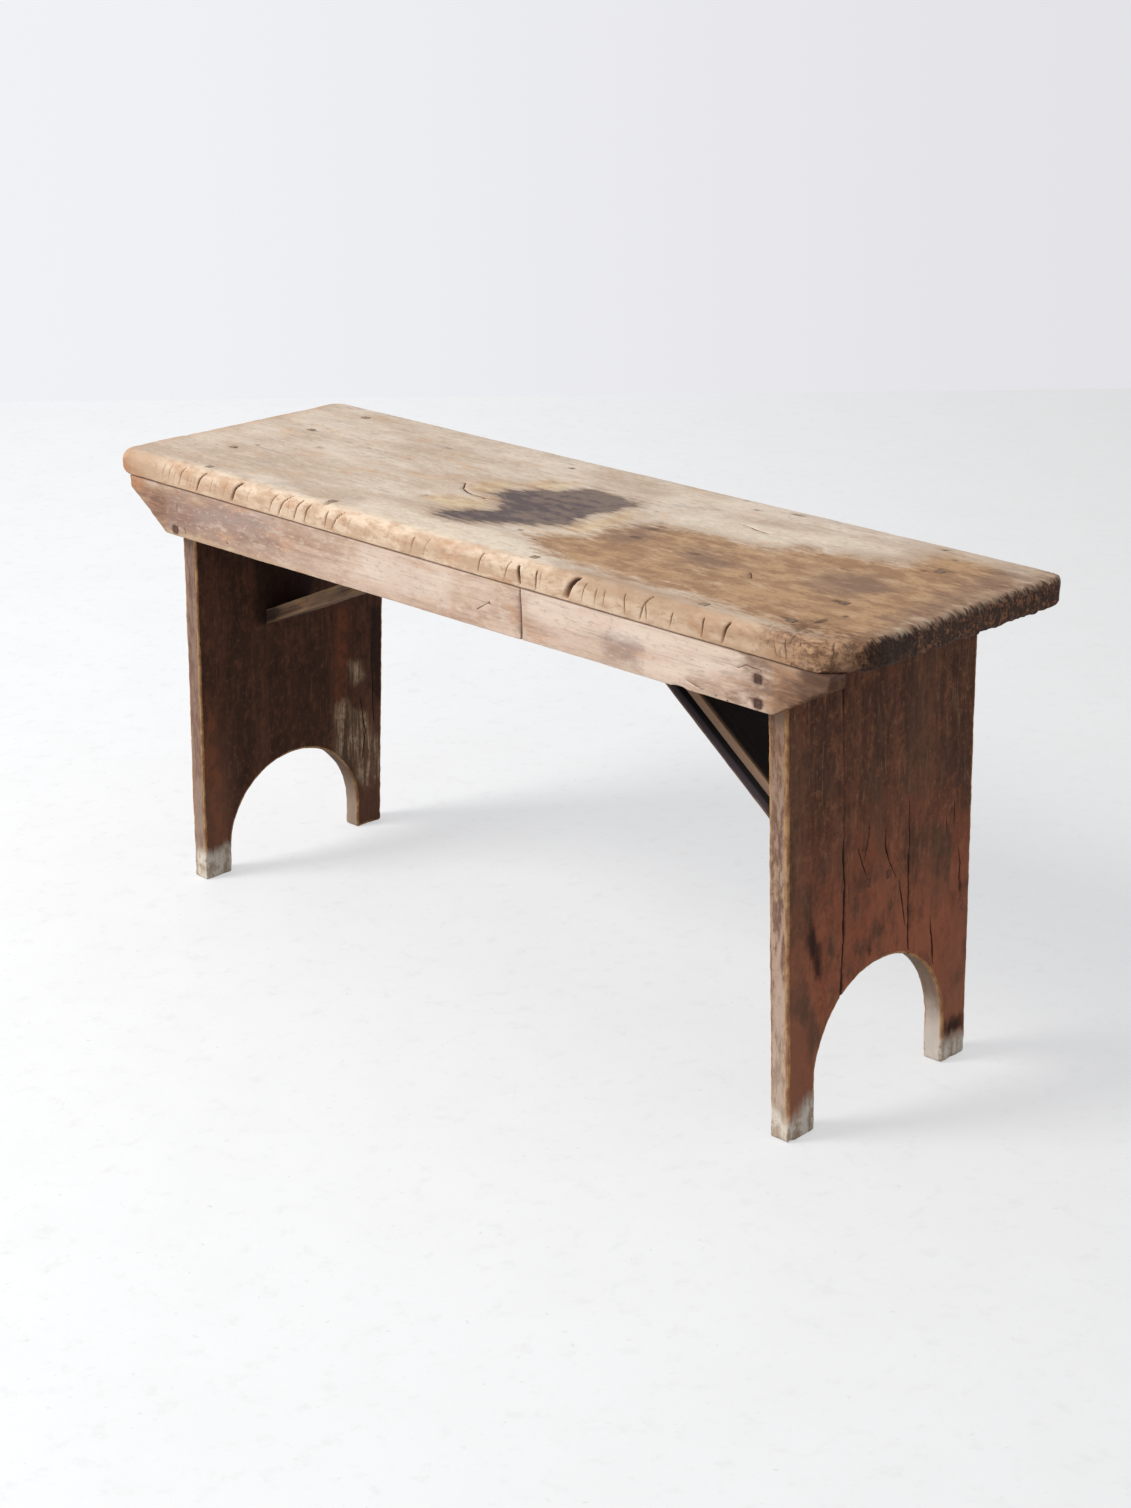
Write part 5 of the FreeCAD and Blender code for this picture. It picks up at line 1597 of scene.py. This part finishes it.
print("making the nails")
irons = {name: rustedIron(name + "NailIron", *tones) for name, tones in nails["iron"].items()}
middleHeight = (apronLow[2] + apronDeep / 2) * mm
irons["halfHidden"] = halfGrimyIron("halfHiddenNailIron", **nails["halfHidden"], above=middleHeight)
for node in sorted(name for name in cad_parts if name.endswith("_nails")):
    words = node.split("_")
    name = words[0] + "".join(word.capitalize() for word in words[1:])
    hammered(node, name, irons[nails["finish"].get(node, "rusted")])


# Floor, light and camera

stage = {
    "floorWide": 12.0,
    "floorAhead": 8.0,
    "wallAway": 2.45,  # the pale floor ends here behind the bench, square to the view
    "floorSeen": grey(0.985),
    "floorBounce": grey(0.42),  # the floor's tone for light that bounces off it
    "wallDim": tint(226, 225, 229),
    "wallBright": tint(241, 242, 246),
    "key": (-1.9, -3.2, 3.3),
    "keyAim": (0, 0, 0.3),
    "keySize": 1.9,
    "keyPower": 155,
    "keyTint": (1.0, 0.985, 0.96),
    "windowSide": (-0.51, -0.86, 0.0),
    "room": 0.6,
    "roomSlant": 0.2,  # how much more light comes from the window's side of the room
}
camera = {
    "place": (1.61161, -1.60742, 1.05832),
    "forward": (-0.67925928, 0.63724032, -0.36404892),
    "right": (0.68727967, 0.72630949, -0.01100787),
    "sensor": 36.0,
    "lens": 61.86,
    "shift": (0.0597, 0.0265),
}


def seenDirectly(shade):
    # 1 for what the camera sees, straight or in a reflection or through glass
    rays = [shade.add("ShaderNodeLightPath", None, None, out) for out in (0, 3, 6)]
    return shade.maths("MAXIMUM", shade.maths("MAXIMUM", rays[0], rays[1]), rays[2])


def paleFloor():
    shade = Shade("paleFloor")
    where = shade.add("ShaderNodeTexCoord", None, None, 3)
    along, across, up = shade.axes(where)
    seen = seenDirectly(shade)
    specks = shade.noise(where, (9, 9, 9), 5.0, 0.6)
    dust = shade.noise(where, (120, 120, 120), 3.0, 0.6, 3.3)
    scuffs = shade.noise(where, (46, 40, 46), 6.0, 0.7, 6.6)
    colour = shade.mix(seen, stage["floorBounce"], stage["floorSeen"])
    colour = shade.mix(shade.smooth(specks, 0.42, 0.62) * 0.07, colour, tint(206, 203, 199))
    colour = shade.mix(shade.smooth(scuffs, 0.52, 0.7) * seen * 0.24, colour, tint(196, 193, 189))
    colour = shade.mix(shade.smooth(dust, 0.66, 0.74) * 0.45, colour, tint(176, 171, 165))
    # painted shade: what the camera sees of the floor darkens towards the back and right, away from the
    # window light
    away = shade.smooth(along + across, -1.0, 2.2)
    colour = shade.mix(away * seen * 0.62, colour, tint(168, 165, 161))
    values = {"Base Color": colour, "Roughness": 0.6, "Specular IOR Level": 0.1}
    matt = shade.add("ShaderNodeBsdfPrincipled", None, values)
    # half of what the camera sees is a plain glow, which keeps the floor white
    glow = shade.add("ShaderNodeEmission", None, {"Color": tint(253, 253, 254), "Strength": 1.0})
    both = shade.add("ShaderNodeMixShader", None, {0: seen * 0.5, 1: matt, 2: glow})
    shade.add("ShaderNodeOutputMaterial", None, {"Surface": both})
    return shade.material


def makeFloor():
    heading = Vector(camera["forward"][:2]).normalized()
    beside = Vector((heading.y, -heading.x))
    half = stage["floorWide"] / 2
    spots = []
    for wide, far in ((-half, -stage["floorAhead"]), (half, -stage["floorAhead"]),
                      (half, stage["wallAway"]), (-half, stage["wallAway"])):
        spot = beside * wide + heading * far
        spots.append((spot.x, spot.y, 0))
    mesh = bpy.data.meshes.new("floor")
    mesh.from_pydata(spots, [], [(0, 1, 2, 3)])
    floor = addObject("floor", mesh)
    floor.data.materials.append(paleFloor())


def windowLight():
    lamp = bpy.data.lights.new("windowLight", "AREA")
    lamp.shape = "DISK"
    lamp.size = stage["keySize"]
    lamp.energy = stage["keyPower"]
    lamp.color = stage["keyTint"]
    window = addObject("windowLight", lamp)
    window.location = stage["key"]
    window.rotation_euler = (Vector(stage["keyAim"]) - window.location).to_track_quat("-Z", "Y").to_euler()


def lightRoom():
    world = bpy.data.worlds.new("paleRoom")
    bpy.context.scene.world = world
    world.use_nodes = True
    room = Shade("paleRoom", world.node_tree)
    direction = room.add("ShaderNodeTexCoord", None, None, 0)
    facing = room.vectors("DOT_PRODUCT", direction, stage["windowSide"], 1)
    least, most = stage["room"] - stage["roomSlant"], stage["room"] + stage["roomSlant"]
    bright = tint(246, 250, 255)
    dim = tuple(part * least / most for part in bright[:3]) + (1.0,)
    slant = room.mix(facing * 0.5 + 0.5, dim, bright)
    plain = room.add("ShaderNodeBackground", None, {"Color": slant, "Strength": most})
    # painted light: the backdrop the camera sees is brighter on the window's side
    wallTone = room.mix(room.smooth(facing, -0.55, 0.0), stage["wallDim"], stage["wallBright"])
    behind = room.add("ShaderNodeBackground", None, {"Color": wallTone, "Strength": 1.0})
    both = room.add("ShaderNodeMixShader", None, {0: seenDirectly(room), 1: plain, 2: behind})
    room.add("ShaderNodeOutputWorld", None, {"Surface": both})


def setCamera():
    lens = bpy.data.cameras.new("camera")
    lens.sensor_width = camera["sensor"]
    lens.lens = camera["lens"]
    lens.shift_x, lens.shift_y = camera["shift"]
    eye = addObject("camera", lens)
    forward, right = Vector(camera["forward"]), Vector(camera["right"])
    turned = Matrix((right, right.cross(forward), -forward)).transposed().to_4x4()
    eye.matrix_world = Matrix.Translation(camera["place"]) @ turned
    bpy.context.scene.camera = eye


print("setting the floor, light and camera")
makeFloor()
lightRoom()
windowLight()
setCamera()
bpy.context.scene.view_settings.view_transform = "Standard"
